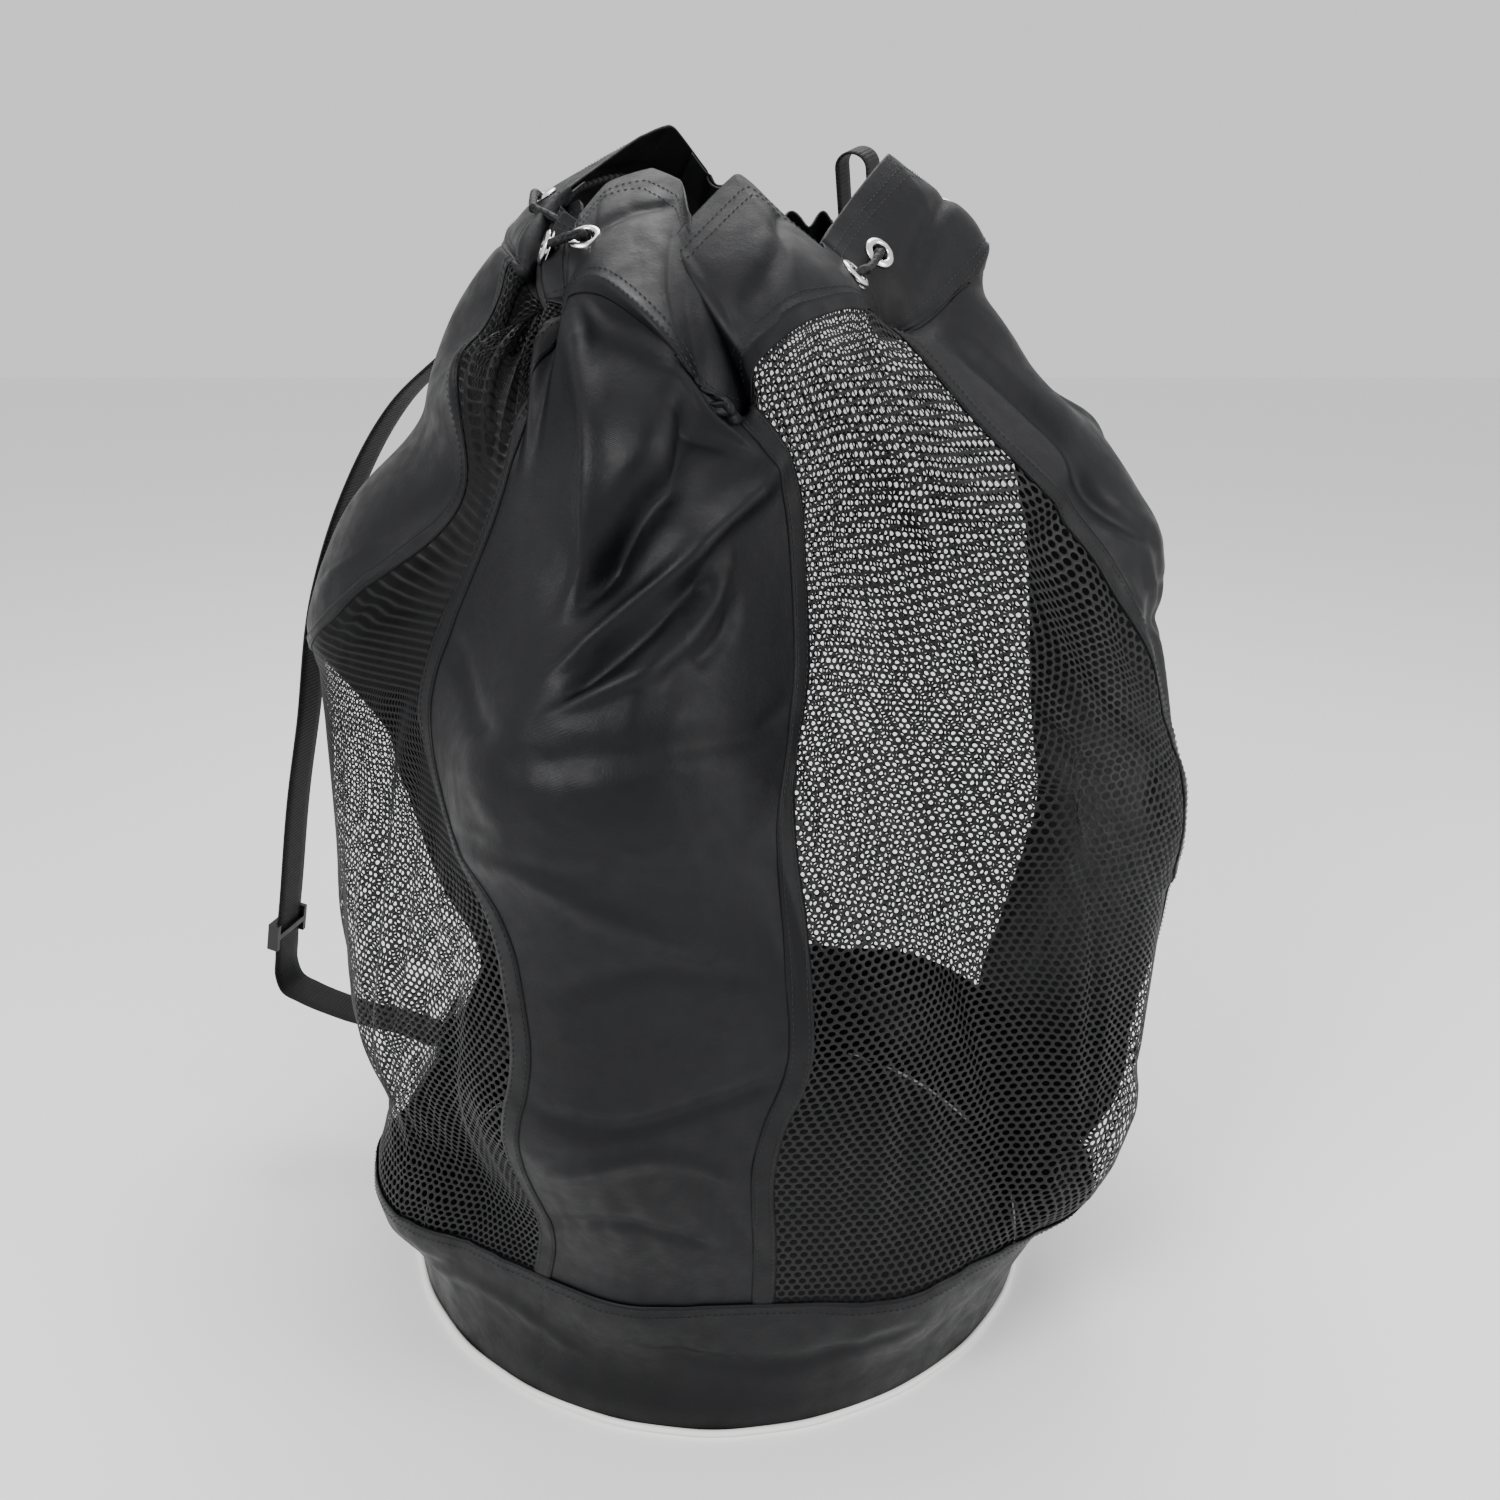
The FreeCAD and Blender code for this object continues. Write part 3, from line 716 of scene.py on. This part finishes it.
def netPanel(k):
    low = bandRow - 1.0
    high = neckRow + 0.5
    level = np.full(60, 55.0)
    climb = np.linspace(low, high, 90)
    middleWidth = np.linalg.norm(
        np.diff(surface(level, panelColumn(k, level, np.linspace(0, 1, 60))), axis=0), axis=1).sum()
    length = np.linalg.norm(np.diff(surface(climb, panelColumn(k, climb, 0.5)), axis=0), axis=1).sum()
    across = int(round(middleWidth / knit["pitch"]))
    upward = int(round(length / (knit["pitch"] * 0.866)))
    a, b = np.meshgrid(np.arange(upward), np.arange(across), indexing="ij")
    x = b + 0.5 * (a % 2)
    y = a * 0.866
    hexAngles = np.radians(np.arange(12) * 30.0)
    hexReach = np.where(np.arange(12) % 2 == 0, 0.5, 0.57735)
    outerX = x[..., None] + hexReach * np.cos(hexAngles)
    outerY = y[..., None] + hexReach * np.sin(hexAngles)
    innerX = x[..., None] + knit["hole"] * np.cos(hexAngles)
    innerY = y[..., None] + knit["hole"] * 0.97 * np.sin(hexAngles)

    def toBag(px, py, sink):
        rows = np.clip(low + py / (upward * 0.866) * (high - low), low, high)
        shares = np.clip(px / (across - 0.5), 0, 1)
        columns = panelColumn(k, rows, shares)
        return surface(rows, columns) - outward(rows, columns) * sink

    outer = toBag(outerX, outerY, 0.0)
    inner = toBag(innerX, innerY, knit["dip"])
    points = np.concatenate([outer, inner], axis=2).reshape(-1, 3)
    cells = upward * across
    ring = np.arange(12)
    base = (np.arange(cells) * 24)[:, None]
    quads = np.stack(
        [base + ring, base + (ring + 1) % 12, base + 12 + (ring + 1) % 12, base + 12 + ring], -1
    ).reshape(-1, 4)
    keys = np.round(points / 2e-5).astype(np.int64)
    flat = (keys[:, 0] * 73856093) ^ (keys[:, 1] * 19349663) ^ (keys[:, 2] * 83492791)
    _, keep, back = np.unique(flat, return_index=True, return_inverse=True)
    obj = meshFrom("meshPanel_" + panelNames[k], points[keep], back[quads])
    print("net", panelNames[k], across, upward, len(quads) * 2)
    return obj


for k in range(6):
    if panelKinds[k] == "mesh":
        finishPiece(netPanel(k), yarn, "bag", ["mesh_panel_" + panelNames[k]])
print("mesh panels")

# stitches, each a short rounded bead of thread


def stitchRow(name, path, normals, bodyName, length=0.0032, gap=0.0016, width=0.0007):
    path = np.asarray(path)
    steps = np.linalg.norm(np.diff(path, axis=0), axis=1)
    along = np.concatenate([[0], np.cumsum(steps)])
    count = int(along[-1] / (length + gap))
    starts = np.arange(count) * (length + gap) + gap / 2
    points = []
    faces = []
    for s in starts:
        ends = []
        for d in (s, s + length / 2, s + length):
            ends.append([np.interp(d, along, path[:, m]) for m in range(3)])
        normal = np.array([np.interp(s, along, normals[:, m]) for m in range(3)])
        a, mid, b = np.array(ends)
        side = np.cross(b - a, normal)
        side = side / max(np.linalg.norm(side), 1e-9) * width / 2
        base = len(points)
        for spot, rise, wide in ((a, -0.0001, 0.5), (mid, 0.00055, 1.0), (b, -0.0001, 0.5)):
            points.append(spot + side * wide)
            points.append(spot + normal * rise + normal * 0.00015)
            points.append(spot - side * wide)
        for m in (0, 3):
            faces.append((base + m, base + m + 1, base + m + 4, base + m + 3))
            faces.append((base + m + 1, base + m + 2, base + m + 5, base + m + 4))
    finishPiece(meshFrom(name, points, faces), thread, bodyName, [])


# vertical seams: the folded nylon edge lies over the mesh

seam = {"half": 0.0085, "lift": 0.0016, "thickness": 0.0012}
for k in range(6):
    rows = np.linspace(bandRow - 1.5, neckRow + 0.3, 260)
    border = borderColumn(k, rows)
    widthPer = np.linalg.norm(surface(rows, border + 0.5) - surface(rows, border - 0.5), axis=1)
    half = np.clip(seam["half"] / np.maximum(widthPer, 0.002), 0.6, 2.2)
    shares = np.linspace(-1, 1, 9)
    r = np.repeat(rows[:, None], 9, 1)
    c = border[:, None] + half[:, None] * shares[None]
    crown = seam["lift"] * (1 - 0.45 * np.abs(shares) ** 4)
    points = surface(r, c) + outward(r, c) * crown[None, :, None]
    strip = meshFrom("seamStrip_" + panelNames[k], points, gridFaces(len(rows), 9, False))
    addUv(strip, clothUv(r, c))
    thicken(strip, seam["thickness"])
    finishPiece(strip, seamCloth, "bag", ["seam_" + panelNames[k]])
    for number, share in enumerate((-0.62, 0.62)):
        line = border + half * share
        normals = outward(rows, line)
        stitchRow("seamStitch_%s_%d" % (panelNames[k], number),
                  surface(rows, line) + normals * (seam["lift"] + 0.0001), normals, "bag")
print("seams")

# lower band, piping and base

band = {"lift": 0.0022, "thickness": 0.0012, "rows": 40}
columns = np.linspace(0, gridColumns, gridColumns * 2 + 1)
tops = bandTop(columns)
shares = np.linspace(0, 1, band["rows"])
r = 0.02 + shares[:, None] * (tops[None] - 0.02)
c = np.repeat(columns[None], band["rows"], 0)
wobble = 0.0007 * np.sin(c * 0.9) * np.sin(c * 0.23 + 1.0) * np.sin(np.pi * shares[:, None])
points = surface(r, c) + outward(r, c) * (band["lift"] + wobble)[..., None]
bandObj = meshFrom("lowerBand", points[:, :-1], gridFaces(band["rows"], len(columns) - 1, True))
addUv(bandObj, clothUv(r, c)[:, :-1])
thicken(bandObj, band["thickness"])
finishPiece(bandObj, nylonBand, "bag", ["lower_band"])
for number, drop in enumerate((0.45, 1.35)):
    line = tops - drop
    normals = outward(line, columns)
    stitchRow("bandStitch_%d" % number,
              surface(line, columns) + normals * (band["lift"] + 0.0002), normals, "bag")


def tube(name, path, radius, sides, closed=False):
    path = np.asarray(path, float)
    count = len(path)
    ways = np.roll(path, -1, 0) - np.roll(path, 1, 0)
    if not closed:
        ways[0] = path[1] - path[0]
        ways[-1] = path[-1] - path[-2]
    ways = ways / np.linalg.norm(ways, axis=1)[:, None]
    side = np.cross(ways[0], (0, 0, 1.0))
    if np.linalg.norm(side) < 0.1:
        side = np.cross(ways[0], (1.0, 0, 0))
    side = side / np.linalg.norm(side)
    rings = []
    uv = []
    length = 0.0
    for i in range(count):
        side = side - ways[i] * np.dot(side, ways[i])
        side = side / np.linalg.norm(side)
        other = np.cross(ways[i], side)
        angles = np.arange(sides) / sides * 2 * math.pi
        rings.append(path[i] + radius * (np.cos(angles)[:, None] * side + np.sin(angles)[:, None] * other))
        if i:
            length += float(np.linalg.norm(path[i] - path[i - 1]))
        uv.append(np.stack([np.arange(sides) / sides * 2 * math.pi * radius, np.full(sides, length)], 1))
    points = np.concatenate(rings)
    faces = []
    for i in range(count if closed else count - 1):
        n = (i + 1) % count
        for m in range(sides):
            q = (m + 1) % sides
            faces.append([i * sides + m, i * sides + q, n * sides + q, n * sides + m])
    if not closed:
        faces.append(list(range(sides))[::-1])
        faces.append([(count - 1) * sides + m for m in range(sides)])
    data = bpy.data.meshes.new(name)
    data.from_pydata(points.tolist(), [], faces)
    data.update()
    obj = bpy.data.objects.new(name, data)
    scene.collection.objects.link(obj)
    addUv(obj, np.concatenate(uv))
    turnFacesOut(obj)
    return obj


angles = np.linspace(0, 2 * math.pi, 360, endpoint=False)
edge = 0.2755 + 0.0006 * np.sin(angles * 7) + 0.0004 * np.sin(angles * 23)
pipe = tube("basePiping", np.stack([edge * np.cos(angles), edge * np.sin(angles), np.full(360, 0.0027)], 1),
            0.0026, 12, closed=True)
finishPiece(pipe, pipingPlastic, "bag", ["base_piping"])

base = {"radius": 0.2738, "lift": 0.0036, "thickness": 0.0018}
basePoints = [(0, 0, base["lift"])]
baseFaces = []
rings = 14
around = 96
for i in range(1, rings + 1):
    for m in range(around):
        angle = m / around * 2 * math.pi
        radius = base["radius"] * i / rings
        lift = base["lift"] - 0.0010 * (i / rings) ** 6 + 0.0003 * math.sin(angle * 5) * math.sin(i)
        basePoints.append((radius * math.cos(angle), radius * math.sin(angle), lift))
for m in range(around):
    baseFaces.append([0, 1 + m, 1 + (m + 1) % around])
for i in range(rings - 1):
    for m in range(around):
        q = (m + 1) % around
        low = 1 + i * around
        baseFaces.append([low + m, low + around + m, low + around + q, low + q])
baseData = bpy.data.meshes.new("basePanel")
baseData.from_pydata(basePoints, [], baseFaces)
baseObj = bpy.data.objects.new("basePanel", baseData)
scene.collection.objects.link(baseObj)
thicken(baseObj, base["thickness"])
finishPiece(baseObj, nylonBand, "bag", ["base_panel"])
print("band, piping and base")

# collar, eyelets and drawcord

eyeletShares = {
    "front": (0.08, 0.95), "right_front": (0.05, 0.88), "right_rear": (0.20, 0.84),
    "rear": (0.208, 0.875), "left_rear": (0.14, 0.84), "left_front": (0.208, 0.875),
}
eyelet = {"q": 0.62, "clothHole": 0.0088, "lift": 0.0016}
collar = {"lift": 0.0012, "thickness": 0.0016, "tuck": 3.0, "tuckDepth": 0.0035}
ringProfile = [
    (0.0068, -0.0030), (0.0068, 0.0008), (0.0073, 0.0016), (0.0086, 0.0020), (0.0102, 0.0017),
    (0.0116, 0.0009), (0.0122, 0.0001), (0.0118, -0.0004), (0.0080, -0.0004), (0.0078, -0.0022),
    (0.0118, -0.0024), (0.0120, -0.0030),
]


def eyeletPlace(k, number):
    place = k + eyeletShares[panelNames[k]][number]
    row = neckRow + eyelet["q"] * collarRows
    column = float(columnOf(place))
    return row, column


def eyeletMesh(name, places):
    points = []
    faces = []
    sides = 40
    count = len(ringProfile)
    for centre, normal in places:
        normal = Vector(normal).normalized()
        turn = normal.to_track_quat("Z", "Y").to_matrix()
        base = len(points)
        for radius, height in ringProfile:
            for m in range(sides):
                angle = m / sides * 2 * math.pi
                spot = turn @ Vector((radius * math.cos(angle), radius * math.sin(angle), height))
                points.append(tuple(Vector(centre) + spot))
        for i in range(count):
            n = (i + 1) % count
            for m in range(sides):
                q = (m + 1) % sides
                faces.append([base + i * sides + m, base + n * sides + m,
                              base + n * sides + q, base + i * sides + q])
    obj = meshFrom(name, points, faces)
    turnFacesOut(obj)
    return obj


def collarPiece(k):
    first = columnStarts[k] - collar["tuck"]
    last = columnStarts[k + 1] + collar["tuck"]
    across = np.linspace(first, last, int((last - first) * 4))
    upward = np.linspace(neckRow - 1.2, hemRow - 0.02, 64)
    r, c = np.meshgrid(upward, across, indexing="ij")
    beyond = np.maximum(columnStarts[k] - c, c - columnStarts[k + 1])
    under = np.clip((beyond + 0.6) / 1.2, 0, 1)
    lift = collar["lift"] - collar["tuckDepth"] * under * under * (3 - 2 * under)
    normal = outward(r, c)
    points = surface(r, c) + normal * lift[..., None]
    faces = gridFaces(len(upward), len(across), False)
    middles = points.reshape(-1, 3)[faces].mean(1)
    keep = np.ones(len(faces), bool)
    for number in (0, 1):
        row, column = eyeletPlace(k, number)
        centre = surface(row, column)
        keep &= np.linalg.norm(middles - centre, axis=1) > eyelet["clothHole"]
    obj = meshFrom("collarCloth_" + panelNames[k], points, faces[keep])
    addUv(obj, clothUv(r, c))
    thicken(obj, collar["thickness"])
    return obj


for k in range(6):
    name = panelNames[k]
    bodyName = "collar_" + name
    piece = collarPiece(k)
    piece.data.materials.append(nylon)
    piece.data.polygons.foreach_set("use_smooth", [True] * len(piece.data.polygons))
    middleColumn = (columnStarts[k] + columnStarts[k + 1]) / 2
    low = surface(neckRow - 0.5, middleColumn)
    high = surface(neckRow + collarRows * 0.42, middleColumn)
    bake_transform(piece)
    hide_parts(bodyName)
    columns = np.linspace(columnStarts[k] - 0.2, columnStarts[k + 1] + 0.2, 160)
    for number, row in enumerate((neckRow + 0.4, neckRow + 1.5, hemRow - 2.4, hemRow - 1.5)):
        line = np.full(len(columns), row)
        normals = outward(line, columns)
        rideOn = "bag" if number < 2 else bodyName
        stitchRow("collarStitch_%s_%d" % (name, number),
                  surface(line, columns) + normals * (collar["lift"] + 0.0002), normals, rideOn)
    places = []
    for number in (0, 1):
        row, column = eyeletPlace(k, number)
        normal = outward(row, column)
        places.append((surface(row, column) + normal * eyelet["lift"], normal))
    rings = eyeletMesh("eyeletRings_" + name, places)
    finishPiece(rings, metal, bodyName, ["eyelets_" + name, "eyelet_washers_" + name])
    row = neckRow + eyelet["q"] * collarRows
    firstColumn = eyeletPlace(k, 0)[1]
    secondColumn = eyeletPlace(k, 1)[1]
    deep = {"rear": -0.015, "left_front": -0.018}.get(name, -0.008)
    route = [
        (columnStarts[k] - 0.2, 0.0072), ((columnStarts[k] + firstColumn) / 2, 0.0074),
        (firstColumn - 0.7, 0.0068),
        (firstColumn, 0.0), (firstColumn + 0.9, deep), (firstColumn * 0.67 + secondColumn * 0.33, deep),
        (firstColumn * 0.33 + secondColumn * 0.67, deep), (secondColumn - 0.9, deep), (secondColumn, 0.0),
        (secondColumn + 0.7, 0.0068), ((columnStarts[k + 1] + secondColumn) / 2, 0.0074),
        (columnStarts[k + 1] + 0.2, 0.0072),
    ]
    spots = []
    for a, b in route:
        source = fine if b == 0 else plain
        spots.append(surface(row, a, source) + outward(row, a, source) * b)
    cordObj = tube("drawcordRun_" + name, smoothPath(spots, 110), 0.003, 14)
    finishPiece(cordObj, braid, bodyName, ["drawcord_" + name])
print("collar, eyelets and drawcord")

# knot behind the mouth

row = neckRow + eyelet["q"] * collarRows
knotColumn = float(columnOf(3.5))
knotMiddle = surface(row, knotColumn, plain) - outward(row, knotColumn, plain) * 0.019
turnSide = surface(row, knotColumn + 1) - surface(row, knotColumn - 1)
turnSide = turnSide / np.linalg.norm(turnSide)
turnOut = -outward(row, knotColumn, plain)
turnDown = np.cross(turnSide, turnOut)
if turnDown[2] > 0:
    turnDown = -turnDown
knotPath = []
for i in range(80):
    t = i / 79 * 2 * math.pi * 1.5
    reach = 0.0052 + 0.0012 * math.cos(2 * t)
    knotPath.append(knotMiddle + turnSide * reach * math.cos(t) + turnDown * reach * math.sin(t)
                    + turnOut * 0.0028 * math.sin(1.5 * t))
for i in range(26):
    t = (i + 1) / 26
    knotPath.append(knotPath[79] + turnDown * 0.045 * t + turnSide * 0.014 * t - turnOut * 0.003 * t)
knotObj = tube("cordKnotA", smoothPath(knotPath, 160), 0.003, 12)
finishPiece(knotObj, braid, "collar_rear", ["drawcord_knot"])
tail = [
    knotMiddle, knotMiddle + turnDown * 0.012 - turnSide * 0.006,
    knotMiddle + turnDown * 0.030 - turnSide * 0.012, knotMiddle + turnDown * 0.052 - turnSide * 0.011,
]
tailObj = tube("cordKnotB", smoothPath(tail, 40), 0.003, 12)
finishPiece(tailObj, braid, "collar_rear", [])

# webbing loop, shoulder strap and slider


def ribbonMesh(name, path, acrossList, width, thickness):
    path = np.asarray(path, float)
    acrossList = np.asarray(acrossList, float)
    ways = np.gradient(path, axis=0)
    ways = ways / np.linalg.norm(ways, axis=1)[:, None]
    along = np.concatenate([[0], np.cumsum(np.linalg.norm(np.diff(path, axis=0), axis=1))])
    section = []
    for share, rise in (
        (-1, 0.35), (-0.96, 1), (-0.5, 1.0), (0, 1.0), (0.5, 1.0), (0.96, 1), (1, 0.35),
        (1, -0.35), (0.96, -1), (0.5, -1.0), (0, -1.0), (-0.5, -1.0), (-0.96, -1), (-1, -0.35),
    ):
        section.append((share * width / 2, rise * thickness / 2))
    points = []
    uv = []
    for i in range(len(path)):
        across = acrossList[i] - ways[i] * np.dot(acrossList[i], ways[i])
        across = across / np.linalg.norm(across)
        normal = np.cross(ways[i], across)
        for a, b in section:
            points.append(path[i] + across * a + normal * b)
            uv.append((a, along[i]))
    n = len(section)
    faces = []
    for i in range(len(path) - 1):
        for m in range(n):
            q = (m + 1) % n
            faces.append([i * n + m, i * n + q, (i + 1) * n + q, (i + 1) * n + m])
    faces.append(list(range(n))[::-1])
    faces.append([(len(path) - 1) * n + m for m in range(n)])
    data = bpy.data.meshes.new(name)
    data.from_pydata([tuple(p) for p in points], [], faces)
    obj = bpy.data.objects.new(name, data)
    scene.collection.objects.link(obj)
    addUv(obj, uv)
    turnFacesOut(obj)
    return obj


strapAngle = math.radians(-105.0)
strapOut = np.array([math.sin(strapAngle), -math.cos(strapAngle), 0])
strapAcross = np.array([math.cos(strapAngle), math.sin(strapAngle), 0])


def strapSpot(radius, height, drift=0.0):
    return strapOut * radius + np.array([0, 0, height]) + strapAcross * drift


def bagRadius(angle, height):
    # how far out the bag's cloth is in this direction, at this height
    spots = bag[:gridRows].reshape(-1, 3)
    direction = np.array([math.sin(angle), -math.cos(angle)])
    side = np.array([math.cos(angle), math.sin(angle)])
    near = (np.abs(spots[:, 2] - height) < 0.012) & (np.abs(spots[:, :2] @ side) < 0.02)\
        & (spots[:, :2] @ direction > 0)
    return float(np.max(spots[near][:, :2] @ direction)) if near.any() else 0.25


topMeet = bagRadius(strapAngle, 0.763)
lowMeet = bagRadius(strapAngle, 0.140)
print("strap meets the bag at", round(topMeet, 3), round(lowMeet, 3))
strapPath = [
    strapSpot(topMeet + 0.003, 0.776), strapSpot(topMeet + 0.010, 0.770), strapSpot(0.266, 0.722, -0.010),
    strapSpot(0.325, 0.640, -0.016), strapSpot(0.357, 0.560, -0.010),
    strapSpot(0.382, 0.440, -0.003), strapSpot(0.398, 0.372), strapSpot(0.4195, 0.270),
    strapSpot(0.4335, 0.202), strapSpot(0.4365, 0.180), strapSpot(0.432, 0.165),
    strapSpot(0.415, 0.157), strapSpot(0.375, 0.146),
    strapSpot(lowMeet + 0.012, 0.133), strapSpot(lowMeet + 0.003, 0.130),
]
path = smoothPath(strapPath, 200)
strapObj = ribbonMesh("strapWebbing", path, np.repeat(strapAcross[None], len(path), 0), 0.038, 0.0022)
finishPiece(strapObj, webbing, "strap", ["shoulder_strap"])


def sewnPatch(name, height, tall, nodes):
    columns = np.linspace(columnStarts[4], columnStarts[6], 300)
    rows = np.array([rowAtHeight(height, c) for c in columns[::6]])
    spots = surface(rows, columns[::6])
    pick = int(np.argmax(spots @ strapOut - 4 * np.abs(spots @ strapAcross)))
    centre = columns[::6][pick]
    perColumn = max(np.linalg.norm(
        surface(rows[pick], centre + 0.5) - surface(rows[pick], centre - 0.5)), 0.002)
    perRow = max(np.linalg.norm(surface(rows[pick] + 0.5, centre) - surface(rows[pick] - 0.5, centre)), 0.003)
    across = np.linspace(centre - 0.0195 / perColumn, centre + 0.0195 / perColumn, 14)
    upward = np.linspace(
        rows[pick] - tall / 2 / perRow, min(rows[pick] + tall / 2 / perRow, neckRow - 0.2), 14)
    upward, across = np.meshgrid(upward, across, indexing="ij")
    patch = clothPiece(name, upward, across, 0.0042, 0.0022)
    finishPiece(patch, webbing, "bag", nodes)


sewnPatch("strapPatchTop", 0.760, 0.040, ["strap_anchor_top"])
sewnPatch("strapPatchLow", 0.140, 0.040, ["strap_anchor_bottom"])

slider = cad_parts["strap_slider"]
slider.data.materials.clear()
slider.data.materials.append(sliderPlastic)

loopAngle = math.radians(152.0)
loopAcross = np.array([math.cos(loopAngle), math.sin(loopAngle), 0])
loopColumn = float(columnOf(3.22))
loopFoot = surface(hemRow - 2.0, loopColumn)
loopUp = np.array([-0.10, -0.18, 0.95])
loopPath = []
for i in range(60):
    t = i / 59
    if t < 0.3:
        a, b = -0.0135, 0.042 * t / 0.3
    elif t > 0.7:
        a, b = 0.0135, 0.042 * (1 - t) / 0.3
    else:
        turn = (t - 0.3) / 0.4 * math.pi
        a, b = -0.0135 * math.cos(turn), 0.042 + 0.0125 * math.sin(turn)
    loopPath.append(loopFoot + loopAcross * a + loopUp * b)
loopWide = np.cross(loopAcross, loopUp / np.linalg.norm(loopUp))
loopObj = ribbonMesh("haulWebbing", smoothPath(loopPath, 90), np.repeat(loopWide[None], 90, 0), 0.025, 0.0022)
loopObj.data.materials.append(webbing)
loopObj.data.polygons.foreach_set("use_smooth", [True] * len(loopObj.data.polygons))
tuple(loopFoot + loopUp * 0.012)
tuple(loopFoot + loopUp * 0.040)
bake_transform(loopObj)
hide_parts("haul_loop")
print("strap, slider and loop")

# floor, light and camera


def stagePiece(name, points, faces, color, roughness):
    obj = meshFrom(name, points, faces)
    mat = Mat(name + "Tone", color, roughness)
    obj.data.materials.append(mat.material)


stagePiece("floor", [(-7, -7, 0), (7, -7, 0), (7, 7, 0), (-7, 7, 0)], [(0, 1, 2, 3)], (0.92, 0.92, 0.92), 0.6)

world = bpy.data.worlds.new("studio")
world.use_nodes = True
world.node_tree.nodes["Background"].inputs[0].default_value = (1, 1, 1, 1)
world.node_tree.nodes["Background"].inputs[1].default_value = 0.95
scene.world = world


def softLight(name, place, target, size, power):
    data = bpy.data.lights.new(name, "AREA")
    data.energy = power
    data.shape = "RECTANGLE"
    data.size = size[0]
    data.size_y = size[1]
    obj = bpy.data.objects.new(name, data)
    obj.location = place
    obj.rotation_euler = (Vector(target) - Vector(place)).to_track_quat("-Z", "Y").to_euler()
    scene.collection.objects.link(obj)


softLight("keyLight", (-1.3, -1.7, 2.1), (0, 0, 0.45), (1.1, 1.1), 60)
softLight("rightLight", (1.9, -0.9, 1.3), (0, 0, 0.5), (0.8, 1.6), 28)
softLight("topLight", (0.2, 0.9, 2.4), (0, 0, 0.7), (1.4, 1.0), 32)

cameraData = bpy.data.cameras.new("camera")
cameraData.lens = 33.6
camera = bpy.data.objects.new("camera", cameraData)
camera.location = (0.028, -1.08, 0.865)
camera.rotation_euler = (math.radians(69.0), 0, 0)
scene.collection.objects.link(camera)
scene.camera = camera
